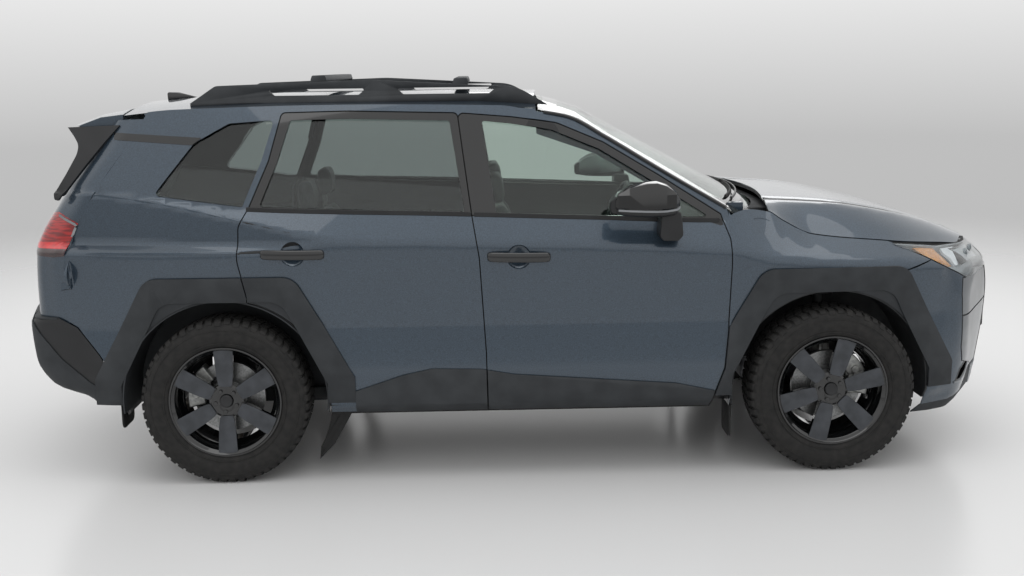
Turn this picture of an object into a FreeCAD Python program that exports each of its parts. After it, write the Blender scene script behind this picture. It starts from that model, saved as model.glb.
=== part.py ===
import FreeCAD, Part
import Sketcher
import math
import os
from FreeCAD import Matrix, Placement, Rotation, Vector

# Five-door off-road estate car with raised ride, modelled at full size in millimetres.
# +X points forward, +Y to the car's left, +Z up. The origin is on the ground below the
# middle of the car, so every outline below is written from the axles, the nose or the tail.

document = FreeCAD.newDocument("offroad_car")
sheet = document.addObject("Spreadsheet::Sheet", "sizes")

SIZES = {
    # Main envelope
    "overall_length": 4600,
    "wheelbase": 2690,
    "front_overhang": 925,
    "half_width": 927,
    "roof_height": 1700,
    "sill_height": 300,
    "belt_height": 1130,
    "shoulder_height": 1000,
    "cladding_height": 500,
    # Wheels and tyres
    "tyre_radius": 369.5,
    "tyre_half_width": 117.5,
    "tread_half_width": 98,
    "tread_edge_drop": 9,
    "rim_radius": 247,
    "rim_lip": 12,
    "rim_well_radius": 196,
    "rim_wall": 8,
    "rim_half_width": 104,
    "spoke_count": 6,
    "spoke_root_half": 34,
    "spoke_tip_half": 42,
    "spoke_thickness": 26,
    "spoke_face": 78,
    "hub_radius": 74,
    "hub_bore_radius": 27,
    "disc_radius": 158,
    "disc_thickness": 22,
    "disc_offset": 8,
    "half_track": 810,
    # Wheel arches
    "arch_radius": 455,
    "flare_width": 118,
    "flare_proud": 12,
    # Body construction
    "door_thickness": 100,
    "frame_thickness": 46,
    "panel_thickness": 22,
    "lamp_depth": 30,
    "headlamp_depth": 90,
    "headlamp_inner_y": 430,
    "glass_thickness": 5,
    "glass_inset": 10,
    "shut_gap": 5,
    "cladding_proud": 10,
    "floor_thickness": 12,
    "floor_height": 318,
    # Steering
    "kingpin_low_y": 742,
    "kingpin_low_z": 222,
    "kingpin_top_y": 592,
    "kingpin_top_z": 888,
    "strut_radius": 26,
    "spring_radius": 66,
    # Roof rack
    "rail_height": 1758,
    "rail_y": 575,
    "rail_width": 38,
    "bar_length": 1180,
    "bar_depth": 78,
    "bar_height": 30,
    # Engine
    "engine_length": 480,
    "engine_width": 760,
    "engine_height": 560,
    "engine_foot": 300,
    # Cabin
    "seat_width": 510,
    "seat_y": 365,
    "wheel_rim_radius": 182,
    "wheel_rim_thickness": 15,
}

for row, (alias, value) in enumerate(SIZES.items(), start=1):
    sheet.set("A%d" % row, alias)
    sheet.set("B%d" % row, str(value))
    sheet.setAlias("B%d" % row, alias)
document.recompute()


class Sizes:
    """The spreadsheet's cells, read by name."""

    def __getattr__(self, alias):
        return float(getattr(sheet, alias))


size = Sizes()

# Datum stations along the car
nose = size.overall_length / 2
tail = -size.overall_length / 2
front_axle = nose - size.front_overhang
rear_axle = front_axle - size.wheelbase
mid_shut = front_axle - 1560
belt = size.belt_height
shoulder = size.shoulder_height
half_width = size.half_width
sill = size.sill_height
hub_height = size.tyre_radius
LEFT, RIGHT = 1, -1
SIDES = (("left", LEFT), ("right", RIGHT))


# Curves and outlines

def line_through(points):
    """Smooth function through (place, value) pairs, without overshoot."""
    points = sorted(points)
    places = [p[0] for p in points]
    values = [p[1] for p in points]
    steps = [(values[i + 1] - values[i]) / (places[i + 1] - places[i]) for i in range(len(points) - 1)]
    slopes = [steps[0]]
    for before, after in zip(steps, steps[1:]):
        slopes.append(0.0 if before * after <= 0 else 2 * before * after / (before + after))
    slopes.append(steps[-1])

    def value_at(place):
        place = min(max(place, places[0]), places[-1])
        i = max(n for n in range(len(places) - 1) if places[n] <= place or n == 0)
        span = places[i + 1] - places[i]
        u = (place - places[i]) / span
        rest = 1 - u
        return (values[i] * rest * rest * (1 + 2 * u) + slopes[i] * span * u * rest * rest
                + values[i + 1] * u * u * (3 - 2 * u) - slopes[i + 1] * span * u * u * rest)
    return value_at


def side_plane(a, b):
    return Vector(a, 0, b)


def plan_plane(a, b):
    return Vector(a, b, 0)


def front_plane(a, b):
    return Vector(0, a, b)


def rounded_wire(points, plane):
    """Closed wire through (a, b) corners, or (a, b, radius) for a rounded corner."""
    corners = [plane(p[0], p[1]) for p in points]
    radii = [p[2] if len(p) > 2 else 0 for p in points]
    count = len(points)
    starts, ends, arcs = [], [], []
    for i, corner in enumerate(corners):
        back = corners[i - 1] - corner
        ahead = corners[(i + 1) % count] - corner
        if not radii[i]:
            starts.append(corner)
            ends.append(corner)
            arcs.append(None)
            continue
        angle = back.getAngle(ahead)
        reach = radii[i] / math.tan(angle / 2)
        back.normalize()
        ahead.normalize()
        first = corner + back * reach
        last = corner + ahead * reach
        bisector = back + ahead
        bisector.normalize()
        middle = corner + bisector * (radii[i] / math.sin(angle / 2) - radii[i])
        starts.append(first)
        ends.append(last)
        arcs.append(Part.Arc(first, middle, last).toShape())
    edges = []
    for i in range(count):
        if arcs[i]:
            edges.append(arcs[i])
        following = starts[(i + 1) % count]
        if ends[i].distanceToPoint(following) > 0.01:
            edges.append(Part.LineSegment(ends[i], following).toShape())
    return Part.Wire(edges)


def slab(points, plane, low, high):
    """Outline in one of the three planes, made solid between two distances from it."""
    face = Part.Face(rounded_wire(points, plane))
    across = plane(1, 0).cross(plane(0, 1))
    across = Vector(abs(across.x), abs(across.y), abs(across.z))
    face.translate(across * low)
    return face.extrude(across * (high - low))


def side_slab(points, side, low=0, high=1300):
    """Side-view outline made solid outwards on one side of the car."""
    if side == LEFT:
        return slab(points, side_plane, low, high)
    return slab(points, side_plane, -high, -low)


def box(x0, x1, y0, y1, z0, z1):
    return Part.makeBox(x1 - x0, y1 - y0, z1 - z0, Vector(x0, y0, z0))


def mirrored(shape):
    """The same shape on the other side of the car."""
    return shape.mirror(Vector(0, 0, 0), Vector(0, 1, 0))


def on_side(shape, side):
    return shape if side == LEFT else mirrored(shape)


def tube_between(start, end, radius):
    way = end - start
    return Part.makeCylinder(radius, way.Length, start, way)


def fused(shapes):
    """One solid from touching shapes."""
    result = shapes[0]
    for extra in shapes[1:]:
        result = result.fuse(extra)
    return result


# Body lines: each gives a height or a half width along the car

belt_z = line_through([(tail + 150, belt + 205), (rear_axle - 300, belt + 142), (rear_axle + 110, belt + 80),
                       (mid_shut - 130, belt + 48), (mid_shut + 500, belt + 22), (front_axle - 495, belt),
                       (front_axle - 440, belt + 30), (front_axle - 375, belt + 42),
                       (front_axle - 270, belt + 26), (front_axle - 208, belt - 13),
                       (front_axle - 80, belt - 74), (front_axle + 270, belt - 112),
                       (front_axle + 620, belt - 148), (nose - 60, belt - 190)])
belt_y = line_through([(tail + 150, half_width - 187), (rear_axle - 300, half_width - 112),
                       (rear_axle + 110, half_width - 78), (mid_shut, half_width - 66),
                       (front_axle - 495, half_width - 80), (front_axle - 375, half_width - 135),
                       (front_axle - 270, half_width - 167), (front_axle - 208, half_width - 158),
                       (front_axle - 80, half_width - 142), (front_axle + 270, half_width - 150),
                       (front_axle + 620, half_width - 290), (nose - 60, half_width - 420)])
upper_z = line_through([(tail + 150, belt + 165), (rear_axle - 590, belt + 160),
                        (rear_axle - 270, belt + 120),
                        (rear_axle + 90, belt + 40), (rear_axle + 545, shoulder + 78),
                        (mid_shut, shoulder + 62), (front_axle - 465, shoulder + 12),
                        (front_axle - 270, shoulder - 30), (front_axle, shoulder - 42),
                        (front_axle + 350, shoulder - 60), (nose - 60, shoulder - 90)])
upper_y = line_through([(tail + 150, half_width - 165), (rear_axle - 300, half_width - 82),
                        (rear_axle + 90, half_width - 42), (rear_axle + 545, half_width - 4),
                        (front_axle - 465, half_width - 4), (front_axle, half_width - 22),
                        (front_axle + 350, half_width - 62), (front_axle + 620, half_width - 150),
                        (nose - 60, half_width - 330)])
ledge_z = line_through([(tail + 150, shoulder + 76), (rear_axle - 500, shoulder + 72),
                        (rear_axle + 90, shoulder + 64), (rear_axle + 545, shoulder + 68),
                        (mid_shut, shoulder + 54), (front_axle - 465, shoulder + 4),
                        (front_axle - 270, shoulder - 38), (front_axle, shoulder - 52),
                        (front_axle + 350, shoulder - 70), (nose - 60, shoulder - 100)])
ledge_y = line_through([(tail + 150, half_width - 160), (rear_axle - 300, half_width - 76),
                        (rear_axle + 90, half_width - 40), (rear_axle + 545, half_width - 3),
                        (front_axle - 465, half_width - 2), (front_axle, half_width - 20),
                        (front_axle + 350, half_width - 60), (front_axle + 620, half_width - 148),
                        (nose - 60, half_width - 328)])
crease_z = line_through([(tail + 150, shoulder + 40), (rear_axle + 90, shoulder + 32),
                         (rear_axle + 545, shoulder + 54), (mid_shut, shoulder + 44),
                         (front_axle - 465, shoulder - 6), (front_axle - 270, shoulder - 52),
                         (front_axle, shoulder - 66), (front_axle + 350, shoulder - 84),
                         (nose - 60, shoulder - 114)])
crease_y = line_through([(tail + 150, half_width - 140), (tail + 260, half_width - 82),
                         (rear_axle - 500, half_width - 34), (rear_axle - 230, half_width - 10),
                         (rear_axle + 90, half_width - 2), (rear_axle + 545, half_width),
                         (mid_shut, half_width), (front_axle - 465, half_width),
                         (front_axle, half_width - 12), (front_axle + 350, half_width - 50),
                         (front_axle + 620, half_width - 138), (nose - 60, half_width - 318)])


def hollow_y(x):
    return crease_y(x) - 30


def cladding_y(x):
    return crease_y(x) - 14


WAIST = 300
CHIN = 45


def side_section(x):
    """Outer points of the lower body side at one station, from the sill up to the glass."""
    return [(crease_y(x) - 56, sill), (cladding_y(x) - 6, sill + CHIN), (cladding_y(x), size.cladding_height),
            (hollow_y(x), shoulder - WAIST), (crease_y(x), crease_z(x)), (ledge_y(x), ledge_z(x)),
            (upper_y(x), upper_z(x)), (belt_y(x), belt_z(x))]


def skin_y(x, z):
    """Half width of the painted side at a station and height."""
    section = side_section(x)
    for (y0, z0), (y1, z1) in zip(section, section[1:]):
        if z <= z1 or (y1, z1) == section[-1]:
            share = min(max((z - z0) / (z1 - z0), 0), 1)
            return y0 + (y1 - y0) * share
    return section[-1][0]


def side_shell(stations, outside, inside):
    """Left body side lofted along the car, from outside the skin to inside it."""
    wires = []
    for x in stations:
        outer = [Vector(x, y + outside, z) for y, z in side_section(x)]
        inner = [Vector(x, y - inside, z) for y, z in side_section(x)]
        ring = outer + inner[::-1]
        wires.append(Part.makePolygon(ring + [ring[0]]))
    return Part.makeLoft(wires, True, True)


# Greenhouse: the glazed side from the belt to the roof's edge

glass_top_z = line_through([(rear_axle - 480, 1612), (rear_axle - 200, 1640), (rear_axle + 500, 1652),
                            (mid_shut + 100, 1640), (front_axle - 1300, 1612)])
glass_top_y = line_through([(rear_axle - 480, 648), (rear_axle, 676), (mid_shut, 684),
                            (front_axle - 1300, 676), (front_axle - 500, 640)])
BULGE = 12
BELT_LAP = 6


def house_section(x):
    """Belt, bulge and roof-edge points of the glazed side at one station."""
    low = Vector(x, belt_y(x), belt_z(x) - BELT_LAP)
    top = Vector(x, glass_top_y(x), glass_top_z(x))
    middle = (low + top) * 0.5 + Vector(0, BULGE, 0)
    return low, middle, top


def house_y(x, z):
    """Half width of the glazed side at a station and height."""
    low, middle, top = house_section(x)
    share = (z - low.z) / (top.z - low.z)
    return low.y + (top.y - low.y) * share + 4 * BULGE * share * (1 - share)


def house_shell(stations, outside, inside):
    """Left glazed side lofted along the car, curved from belt to roof."""
    wires = []
    for x in stations:
        low, middle, top = house_section(x)
        out = Vector(0, outside, 0)
        back = Vector(0, -inside, 0)
        wires.append(Part.Wire([
            Part.Arc(low + out, middle + out, top + out).toShape(),
            Part.LineSegment(top + out, top + back).toShape(),
            Part.Arc(top + back, middle + back, low + back).toShape(),
            Part.LineSegment(low + back, low + out).toShape()]))
    return Part.makeLoft(wires, True, True)


side_stations = [tail + 150, tail + 260, rear_axle - 500, rear_axle - 300, rear_axle - 100, rear_axle + 90,
                 rear_axle + 300, rear_axle + 545, mid_shut, front_axle - 900, front_axle - 465,
                 front_axle - 375, front_axle - 270, front_axle - 208, front_axle - 80, front_axle + 270,
                 front_axle + 450,
                 front_axle + 585]
house_stations = [rear_axle - 700, rear_axle - 480, rear_axle - 200, rear_axle + 200, mid_shut,
                  front_axle - 1100,
                  front_axle - 495, front_axle - 400]

body_shell = side_shell(side_stations, 0, size.door_thickness)
skin_shell = side_shell(side_stations, 0, size.panel_thickness)
wall_shell = side_shell(side_stations, 0, size.frame_thickness)
lamp_shell = side_shell(side_stations, 0, size.lamp_depth)
trim_shell = side_shell(side_stations, size.cladding_proud, -0.3)
flare_shell = side_shell(side_stations, size.flare_proud, -0.3)
fit = 0.3
outside = side_shell(side_stations, 300, 5)
beyond_wing = side_shell(side_stations, 300, size.panel_thickness + fit)
seal_band = side_shell(side_stations, -size.door_thickness - fit, size.door_thickness + 60)
house_frame = house_shell(house_stations, 0, size.frame_thickness)
house_glass = house_shell(house_stations, -size.glass_inset, size.glass_inset + size.glass_thickness)

# Side-view outlines of the openings

shut = size.shut_gap
front_door_outline = [(front_axle - 552, sill + 8), (front_axle - 488, sill + 183),
                      (front_axle - 471, sill + 349),
                      (front_axle - 464, shoulder - 56), (front_axle - 468, shoulder + 56),
                      (front_axle - 502, belt + 28), (front_axle - 771, belt + 200),
                      (front_axle - 1009, belt + 343), (front_axle - 1210, belt + 428, 120),
                      (front_axle - 1414, belt + 458, 300), (mid_shut - 86, belt + 478, 20),
                      (mid_shut - 29, belt + 40), (mid_shut, shoulder - 2, 300),
                      (mid_shut + 24, sill + 272, 300), (mid_shut + 28, sill + 8)]
rear_door_outline = [(mid_shut + 28 - shut, sill + 8), (mid_shut + 24 - shut, sill + 272, 300),
                     (mid_shut - shut, shoulder - 2, 300), (mid_shut - 29 - shut, belt + 40),
                     (mid_shut - 86 - shut, belt + 478, 20), (rear_axle + 560, belt + 492, 600),
                     (rear_axle + 272, belt + 488, 20), (rear_axle + 219, belt + 285),
                     (rear_axle + 137, belt + 94, 60), (rear_axle + 92, belt + 10, 60),
                     (rear_axle + 86, shoulder - 4, 200),
                     (rear_axle + 120, hub_height + size.arch_radius + 10),
                     (rear_axle + 120, sill + 8)]
front_window_outline = [(front_axle - 545, belt + 16, 8), (front_axle - 800, belt + 178),
                        (front_axle - 1025, belt + 316), (front_axle - 1230, belt + 400, 100),
                        (front_axle - 1414, belt + 432, 200), (mid_shut + 16, belt + 446, 12),
                        (mid_shut + 76, belt + 50, 12), (front_axle - 1100, belt + 34)]
rear_window_outline = [(mid_shut - 62, belt + 54, 12), (mid_shut - 124, belt + 448, 12),
                       (rear_axle + 560, belt + 462, 600), (rear_axle + 308, belt + 458, 12),
                       (rear_axle + 252, belt + 275), (rear_axle + 176, belt + 92, 12)]
quarter_window_outline = [(rear_axle + 104, belt + 92, 12), (rear_axle + 184, belt + 282),
                          (rear_axle + 238, belt + 460, 16), (rear_axle + 40, belt + 448, 60),
                          (rear_axle - 110, belt + 366), (rear_axle - 284, belt + 145, 16)]


def grown(points, amount):
    """The outline moved outwards by a small amount all round."""
    wire = rounded_wire(points, side_plane)
    return wire.makeOffset2D(amount)


def grown_slab(points, amount, side, low=0, high=1300):
    """An outline moved outwards or inwards, then made solid on one side."""
    face = Part.Face(grown(points, amount))
    face.translate(Vector(0, low if side == LEFT else -high, 0))
    return face.extrude(Vector(0, high - low, 0))


def arch_slab(axle, radius, low=0, high=1300):
    """Round wheel opening on the left side, open downwards."""
    round_part = Part.makeCylinder(radius, high - low, Vector(axle, low, hub_height), Vector(0, 1, 0))
    return round_part.fuse(box(axle - radius, axle + radius, low, high, 0, hub_height))


def arch_outline(axle, grow):
    """Squared-off outline of a wheel-arch flare around an axle."""
    rise = hub_height
    return [(axle - 455 - grow, rise - 210), (axle - 455 - grow, rise + 80 + grow * 0.2),
            (axle - 262 - grow * 0.5, rise + 448 + grow * 0.9, 90),
            (axle + 262 + grow * 0.5, rise + 448 + grow * 0.9, 90),
            (axle + 455 + grow, rise + 80 + grow * 0.2), (axle + 455 + grow, rise - 210)]


front_door_slab = side_slab(front_door_outline, LEFT)
rear_door_slab = side_slab(rear_door_outline, LEFT)
LINER_LAP = 3
front_arch = arch_slab(front_axle, size.arch_radius)
rear_arch = arch_slab(rear_axle, size.arch_radius)
shapes = {}

# Doors

body_and_house = fused([body_shell, house_frame])
FLANGE = 12
FLANGE_SET_BACK = 14
under_flange = fused([side_shell(side_stations, -FLANGE, size.door_thickness + 20),
                      house_shell(house_stations, -FLANGE, size.frame_thickness + 4)])


def door(outline, window):
    """Left door: outer flange out to the shut line, a thicker inner part, and its window cut."""
    rebate = side_slab(outline, LEFT, 0, 1400).cut(grown_slab(outline, -FLANGE_SET_BACK, LEFT, -1, 1401))
    leaf = body_and_house.common(side_slab(outline, LEFT))
    return leaf.cut(rebate.common(under_flange)).cut(side_slab(window, LEFT))


front_door = door(front_door_outline, front_window_outline)
rear_door = door(rear_door_outline, rear_window_outline)
rear_door = rear_door.cut(arch_slab(rear_axle, size.arch_radius + size.shut_gap + LINER_LAP))

for name, side in SIDES:
    shapes["door_front_" + name] = on_side(front_door, side)
    shapes["door_rear_" + name] = on_side(rear_door, side)

front_glass = house_glass.common(grown_slab(front_window_outline, -fit, LEFT))
rear_glass = house_glass.common(grown_slab(rear_window_outline, -fit, LEFT))
quarter_glass = house_glass.common(grown_slab(quarter_window_outline, -fit, LEFT))
for name, side in SIDES:
    shapes["door_glass_front_" + name] = on_side(front_glass, side)
    shapes["door_glass_rear_" + name] = on_side(rear_glass, side)
shapes["quarter_glass"] = Part.makeCompound([quarter_glass, mirrored(quarter_glass)])

# Lower door cladding, with its rising rear end

cladding_outline = [(rear_axle + 420, sill - 4), (rear_axle + 424, sill + 60),
                    (rear_axle + 781, sill + 178, 60),
                    (rear_axle + 911, sill + 206, 60), (mid_shut, sill + 200),
                    (mid_shut + 140, sill + 174, 200),
                    (front_axle - 700, sill + 119), (front_axle - 480, sill + 70),
                    (front_axle - 480, sill - 4)]
cladding = trim_shell.common(side_slab(cladding_outline, LEFT))
front_cladding = cladding.common(front_door_slab)
rear_flare_ring = side_slab(arch_outline(rear_axle, size.flare_width), LEFT).cut(
    side_slab(arch_outline(rear_axle, -2), LEFT))
rear_flare = flare_shell.common(rear_flare_ring)
rear_flare = rear_flare.cut(box(rear_axle - 700, rear_axle + 700, 0, 1300, 0, sill + 60))
rear_cladding = cladding.common(rear_door_slab).cut(side_slab(arch_outline(rear_axle, size.flare_width),
                                                              LEFT))
for name, side in SIDES:
    shapes["door_cladding_front_" + name] = on_side(front_cladding, side)
    shapes["door_cladding_rear_" + name] = on_side(
        fused([rear_cladding, rear_flare.common(rear_door_slab)]), side)

# Tail: plan curves stacked upwards, from the quarter panels round the back

ROUNDING = 0.45


def offset_path(points, distance):
    """Open plan path moved sideways, to the right of its way when the distance is positive."""
    ways = [Vector(b[0] - a[0], b[1] - a[1], 0).normalize() for a, b in zip(points, points[1:])]
    sides = [Vector(way.y, -way.x, 0) for way in ways]
    sides = [sides[0]] + sides + [sides[-1]]
    result = []
    for (x, y), before, after in zip(points, sides, sides[1:]):
        shift = (before + after) * (distance / (1 + before.dot(after)))
        result.append((x + shift.x, y + shift.y))
    return result


def rounded_path(points, height):
    """Edges along an open plan path, with a tangent arc at every inner corner."""
    corners = [Vector(x, y, height) for x, y in points]
    edges = []
    start = corners[0]
    for before, corner, after in zip(corners, corners[1:], corners[2:]):
        back, ahead = before - corner, after - corner
        reach = ROUNDING * min(back.Length, ahead.Length)
        half_angle = back.getAngle(ahead) / 2
        back.normalize()
        ahead.normalize()
        first, last = corner + back * reach, corner + ahead * reach
        radius = reach * math.tan(half_angle)
        bisector = (back + ahead).normalize()
        middle = corner + bisector * (radius / math.sin(half_angle) - radius)
        edges.append(Part.LineSegment(start, first).toShape())
        edges.append(Part.Arc(first, middle, last).toShape())
        start = last
    edges.append(Part.LineSegment(start, corners[-1]).toShape())
    return edges


def plan_ring(points, thickness, height):
    """Closed plan outline of a wrap-round panel, given half of its points from the side to the middle."""
    full = list(points) + [(x, -y) for x, y in points[-2::-1]]
    inner = offset_path(full, thickness if points[-1][0] > 0 else -thickness)
    edges = rounded_path(full, height)
    edges.append(Part.LineSegment(Vector(*full[-1], height), Vector(*inner[-1], height)).toShape())
    edges += rounded_path(inner[::-1], height)
    edges.append(Part.LineSegment(Vector(*inner[0], height), Vector(*full[0], height)).toShape())
    return Part.Wire(edges)


def wrap_shell(levels, thickness):
    """Wrap-round shell through plan outlines at several heights."""
    return Part.makeLoft([plan_ring(points, thickness, height) for height, points in levels], True, True)


def body_y(x, z):
    """Half width of the body at a station, on the side or on the glazed side above it."""
    if z <= belt_z(x):
        return skin_y(x, z)
    return house_y(x, z)


# Height, corner set in from the tail, corner half width, middle set in from the tail
tail_levels = [(sill + 400, 158, half_width - 149, 66), (sill + 560, 158, half_width - 147, 62),
               (shoulder + 25, 165, half_width - 149, 66), (shoulder + 120, 198, half_width - 163, 108),
               (shoulder + 215, 252, half_width - 185, 168), (belt + 200, 318, half_width - 216, 240),
               (belt + 350, 424, half_width - 256, 350), (belt + 470, 512, half_width - 286, 448)]
TAIL_BLEND = 150


def tail_points(height, corner, width, middle):
    start = tail + corner + TAIL_BLEND
    return [(start, body_y(start, height)), (start - 50, body_y(start - 50, height)), (tail + corner, width),
            (tail + middle + 28, width * 0.58), (tail + middle, 0)]


tail_shell = wrap_shell([(level[0], tail_points(*level)) for level in tail_levels], size.frame_thickness)
tail_lamp_shell = wrap_shell([(level[0], tail_points(*level)) for level in tail_levels], size.lamp_depth)
tail_seam = [(tail + level[1] + TAIL_BLEND, level[0]) for level in tail_levels]

bumper_levels = [(sill + 62, 400, half_width - 165, 190), (sill + 142, 205, half_width - 149, 70),
                 (sill + 252, 140, half_width - 145, 14), (sill + 415, 128, half_width - 143, 0),
                 (sill + 446, 142, half_width - 147, 12)]


def bumper_points(height, corner, width, middle):
    start = rear_axle - 470
    return [(start, skin_y(start, height) + 4), (start - 110, skin_y(start - 110, height) + 4),
            (tail + corner + 40, width + 30), (tail + corner, width),
            (tail + middle + 30, width * 0.55), (tail + middle, 0)]


bumper_shell = wrap_shell([(level[0], bumper_points(*level)) for level in bumper_levels],
                          size.frame_thickness)
bumper_seam = [(rear_axle - 450, sill + 130), (rear_axle - 545, sill + 285), (rear_axle - 640, sill + 405),
               (rear_axle - 722, sill + 448), (tail - 60, sill + 448), (tail - 60, 0), (rear_axle - 450, 0)]
rear_bumper = bumper_shell.common(slab(bumper_seam, side_plane, -1300, 1300))
rear_bumper = rear_bumper.cut(rear_arch).cut(mirrored(rear_arch))
shapes["rear_bumper"] = rear_bumper

# Tailgate, glazed upper part and lamps

tailgate_outline = [(-560, sill + 470, 40), (560, sill + 470, 40), (694, shoulder - 60, 60),
                    (712, belt + 20, 60),
                    (650, belt + 260), (590, belt + 520), (-590, belt + 520), (-650, belt + 260),
                    (-712, belt + 20, 60), (-694, shoulder - 60, 60)]
tail_window_outline = [(-585, belt + 110, 60), (585, belt + 110, 60), (520, belt + 395, 40),
                       (-520, belt + 395, 40)]
tailgate_slab = slab(tailgate_outline, front_plane, tail - 100, rear_axle - 250)
tailgate_gap = Part.Face(rounded_wire(tailgate_outline, front_plane).makeOffset2D(shut))
tailgate_gap.translate(Vector(tail - 100, 0, 0))
tailgate_gap = tailgate_gap.extrude(Vector(1100, 0, 0))
window_slab = slab(tail_window_outline, front_plane, tail - 100, rear_axle - 250)
tail_lamp_outline = [(rear_axle - 487, shoulder + 94, 8), (rear_axle - 709, shoulder + 206, 20),
                     (tail - 20, shoulder + 160), (tail - 20, shoulder + 18),
                     (rear_axle - 718, shoulder + 18),
                     (rear_axle - 570, shoulder + 36, 20)]
shapes["tailgate"] = tail_shell.common(tailgate_slab).cut(window_slab)
glass_face = Part.Face(rounded_wire(tail_window_outline, front_plane).makeOffset2D(-fit))
glass_face.translate(Vector(tail - 100, 0, 0))
glass_cutter = glass_face.extrude(Vector(1100, 0, 0))
shapes["tailgate_glass"] = tail_shell.translated(Vector(size.glass_inset, 0, 0)).common(glass_cutter).cut(
    tail_shell.translated(Vector(size.glass_inset + size.glass_thickness, 0, 0)))

# Spoiler over the rear glass, with a fin down each side of it
spoiler_tip = tail + 289
spoiler_profile = [(rear_axle - 440, belt + 484), (spoiler_tip + 20, belt + 458), (spoiler_tip, belt + 442),
                   (spoiler_tip + 25, belt + 428), (rear_axle - 520, belt + 424),
                   (rear_axle - 440, belt + 440)]
spoiler = slab(spoiler_profile, side_plane, -612, 612)
spoiler_plan = [(rear_axle - 430, -640), (rear_axle - 430, 640), (spoiler_tip + 60, 600, 60),
                (spoiler_tip - 5, 300, 300), (spoiler_tip - 5, -300, 300), (spoiler_tip + 60, -600, 60)]
spoiler = spoiler.common(slab(spoiler_plan, plan_plane, 1400, 1700))
shapes["rear_spoiler"] = spoiler.common(tailgate_slab).cut(shapes["tailgate"])

# Body sides: quarter panel, roof rail, pillars, sill and rear wheelhouse

front_door_gap = grown_slab(front_door_outline, shut, LEFT)
rear_door_gap = grown_slab(rear_door_outline, shut, LEFT)
screen_line = [(front_axle - 1300, belt + 482), (front_axle - 1159, belt + 455),
               (front_axle - 1003, belt + 370),
               (front_axle - 760, belt + 222), (front_axle - 472, belt + 52)]
house_region = ([(tail + 560, belt + 600)] + [(front_axle - 1300, belt + 600)] + screen_line
                + [(front_axle - 462, belt - 20), (tail_seam[0][0], belt - 20)] + tail_seam[3:])
roof_rail_region = [(rear_axle - 300, belt + 300), (rear_axle - 300, belt + 600),
                    (front_axle - 1300, belt + 600),
                    (front_axle - 1300, belt + 300)]
doors_rebate = grown_slab(front_door_outline, shut + FLANGE_SET_BACK, LEFT).fuse(
    grown_slab(rear_door_outline, shut + FLANGE_SET_BACK, LEFT)).common(under_flange)
doors_gap = front_door_gap.fuse(rear_door_gap)
house_side = house_frame.common(side_slab(house_region, LEFT))
deep_rail = house_shell(house_stations, 0, 90).common(side_slab(roof_rail_region, LEFT))
quarter_region = [(rear_axle + 300, sill), (rear_axle + 300, belt + 300), (tail_seam[5][0], belt + 300),
                  tail_seam[5], tail_seam[4], tail_seam[3], tail_seam[2], tail_seam[1], tail_seam[0],
                  (tail_seam[0][0], sill)]
bumper_slab = side_slab(bumper_seam, LEFT)
quarter = wall_shell.common(side_slab(quarter_region, LEFT)).cut(bumper_slab)
quarter_skin = fused([quarter, house_side, deep_rail]).cut(doors_gap).cut(doors_rebate)
quarter_skin = quarter_skin.cut(rear_arch).cut(side_slab(quarter_window_outline, LEFT))
tail_corner = tail_shell.cut(tailgate_gap).common(box(tail - 50, 0, 0, 1300, 0, 2000))
tail_corner = tail_corner.cut(slab(bumper_seam, side_plane, 0, 1300))


def corner_post(x, z, near=14, deep=42):
    """Square section that joins the quarter panel and the tail corner inside their wall."""
    y = body_y(x, z)
    corners = [(x - 25, y - near), (x + 25, y - near), (x + 25, y - deep), (x - 25, y - deep)]
    return Part.makePolygon([Vector(a, b, z) for a, b in corners + corners[:1]])


post = Part.makeLoft([corner_post(x, z) for x, z in tail_seam[1:-1]], True, False)
lamp_outside = side_slab(tail_lamp_outline, LEFT)
tail_lamp_side = lamp_shell.common(lamp_outside).common(side_slab(quarter_region, LEFT))
tail_lamp_back = tail_lamp_shell.common(lamp_outside).cut(tailgate_gap)
rocker = box(rear_axle + size.arch_radius, front_axle - size.arch_radius, 640, half_width - 170, sill,
             sill + 100)
rocker_outer = seal_band.common(box(rear_axle + size.arch_radius, front_axle - size.arch_radius, 640, 900,
                                    sill, sill + 100))
hinge_pillar = box(front_axle - 457, front_axle - 375, 700, half_width - 60, sill, belt - 22)
hinge_pillar = hinge_pillar.cut(beyond_wing)
hinge_post = seal_band.common(box(front_axle - 530, front_axle - 457, 640, 900, sill, belt - 22))
lock_post = seal_band.common(box(mid_shut - 60, mid_shut + 60, 640, 900, sill, belt + 10))
pillar_foot = box(front_axle - 540, front_axle - 380, 690, half_width - 186, belt - 60, belt + 70)
lock_pillar = box(mid_shut - 60, mid_shut + 60, 690, half_width - 170, sill + 90, belt + 160)
pillar_region = [(mid_shut - 60, belt + 50), (mid_shut + 60, belt + 50), (mid_shut - 40, belt + 560),
                 (mid_shut - 140, belt + 560)]
inner_house = house_shell(house_stations, -size.frame_thickness - 6, 120)
lock_pillar_top = inner_house.common(side_slab(pillar_region, LEFT))
screen_pillar_region = screen_line + [(front_axle - 540, belt + 20), (front_axle - 800, belt + 150),
                                      (front_axle - 1040, belt + 290), (front_axle - 1300, belt + 380)]
screen_pillar = inner_house.common(side_slab(screen_pillar_region, LEFT))
wheelhouse_inner = 540
wheelhouse_outer = half_width - 39
liner_wall = 9


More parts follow.
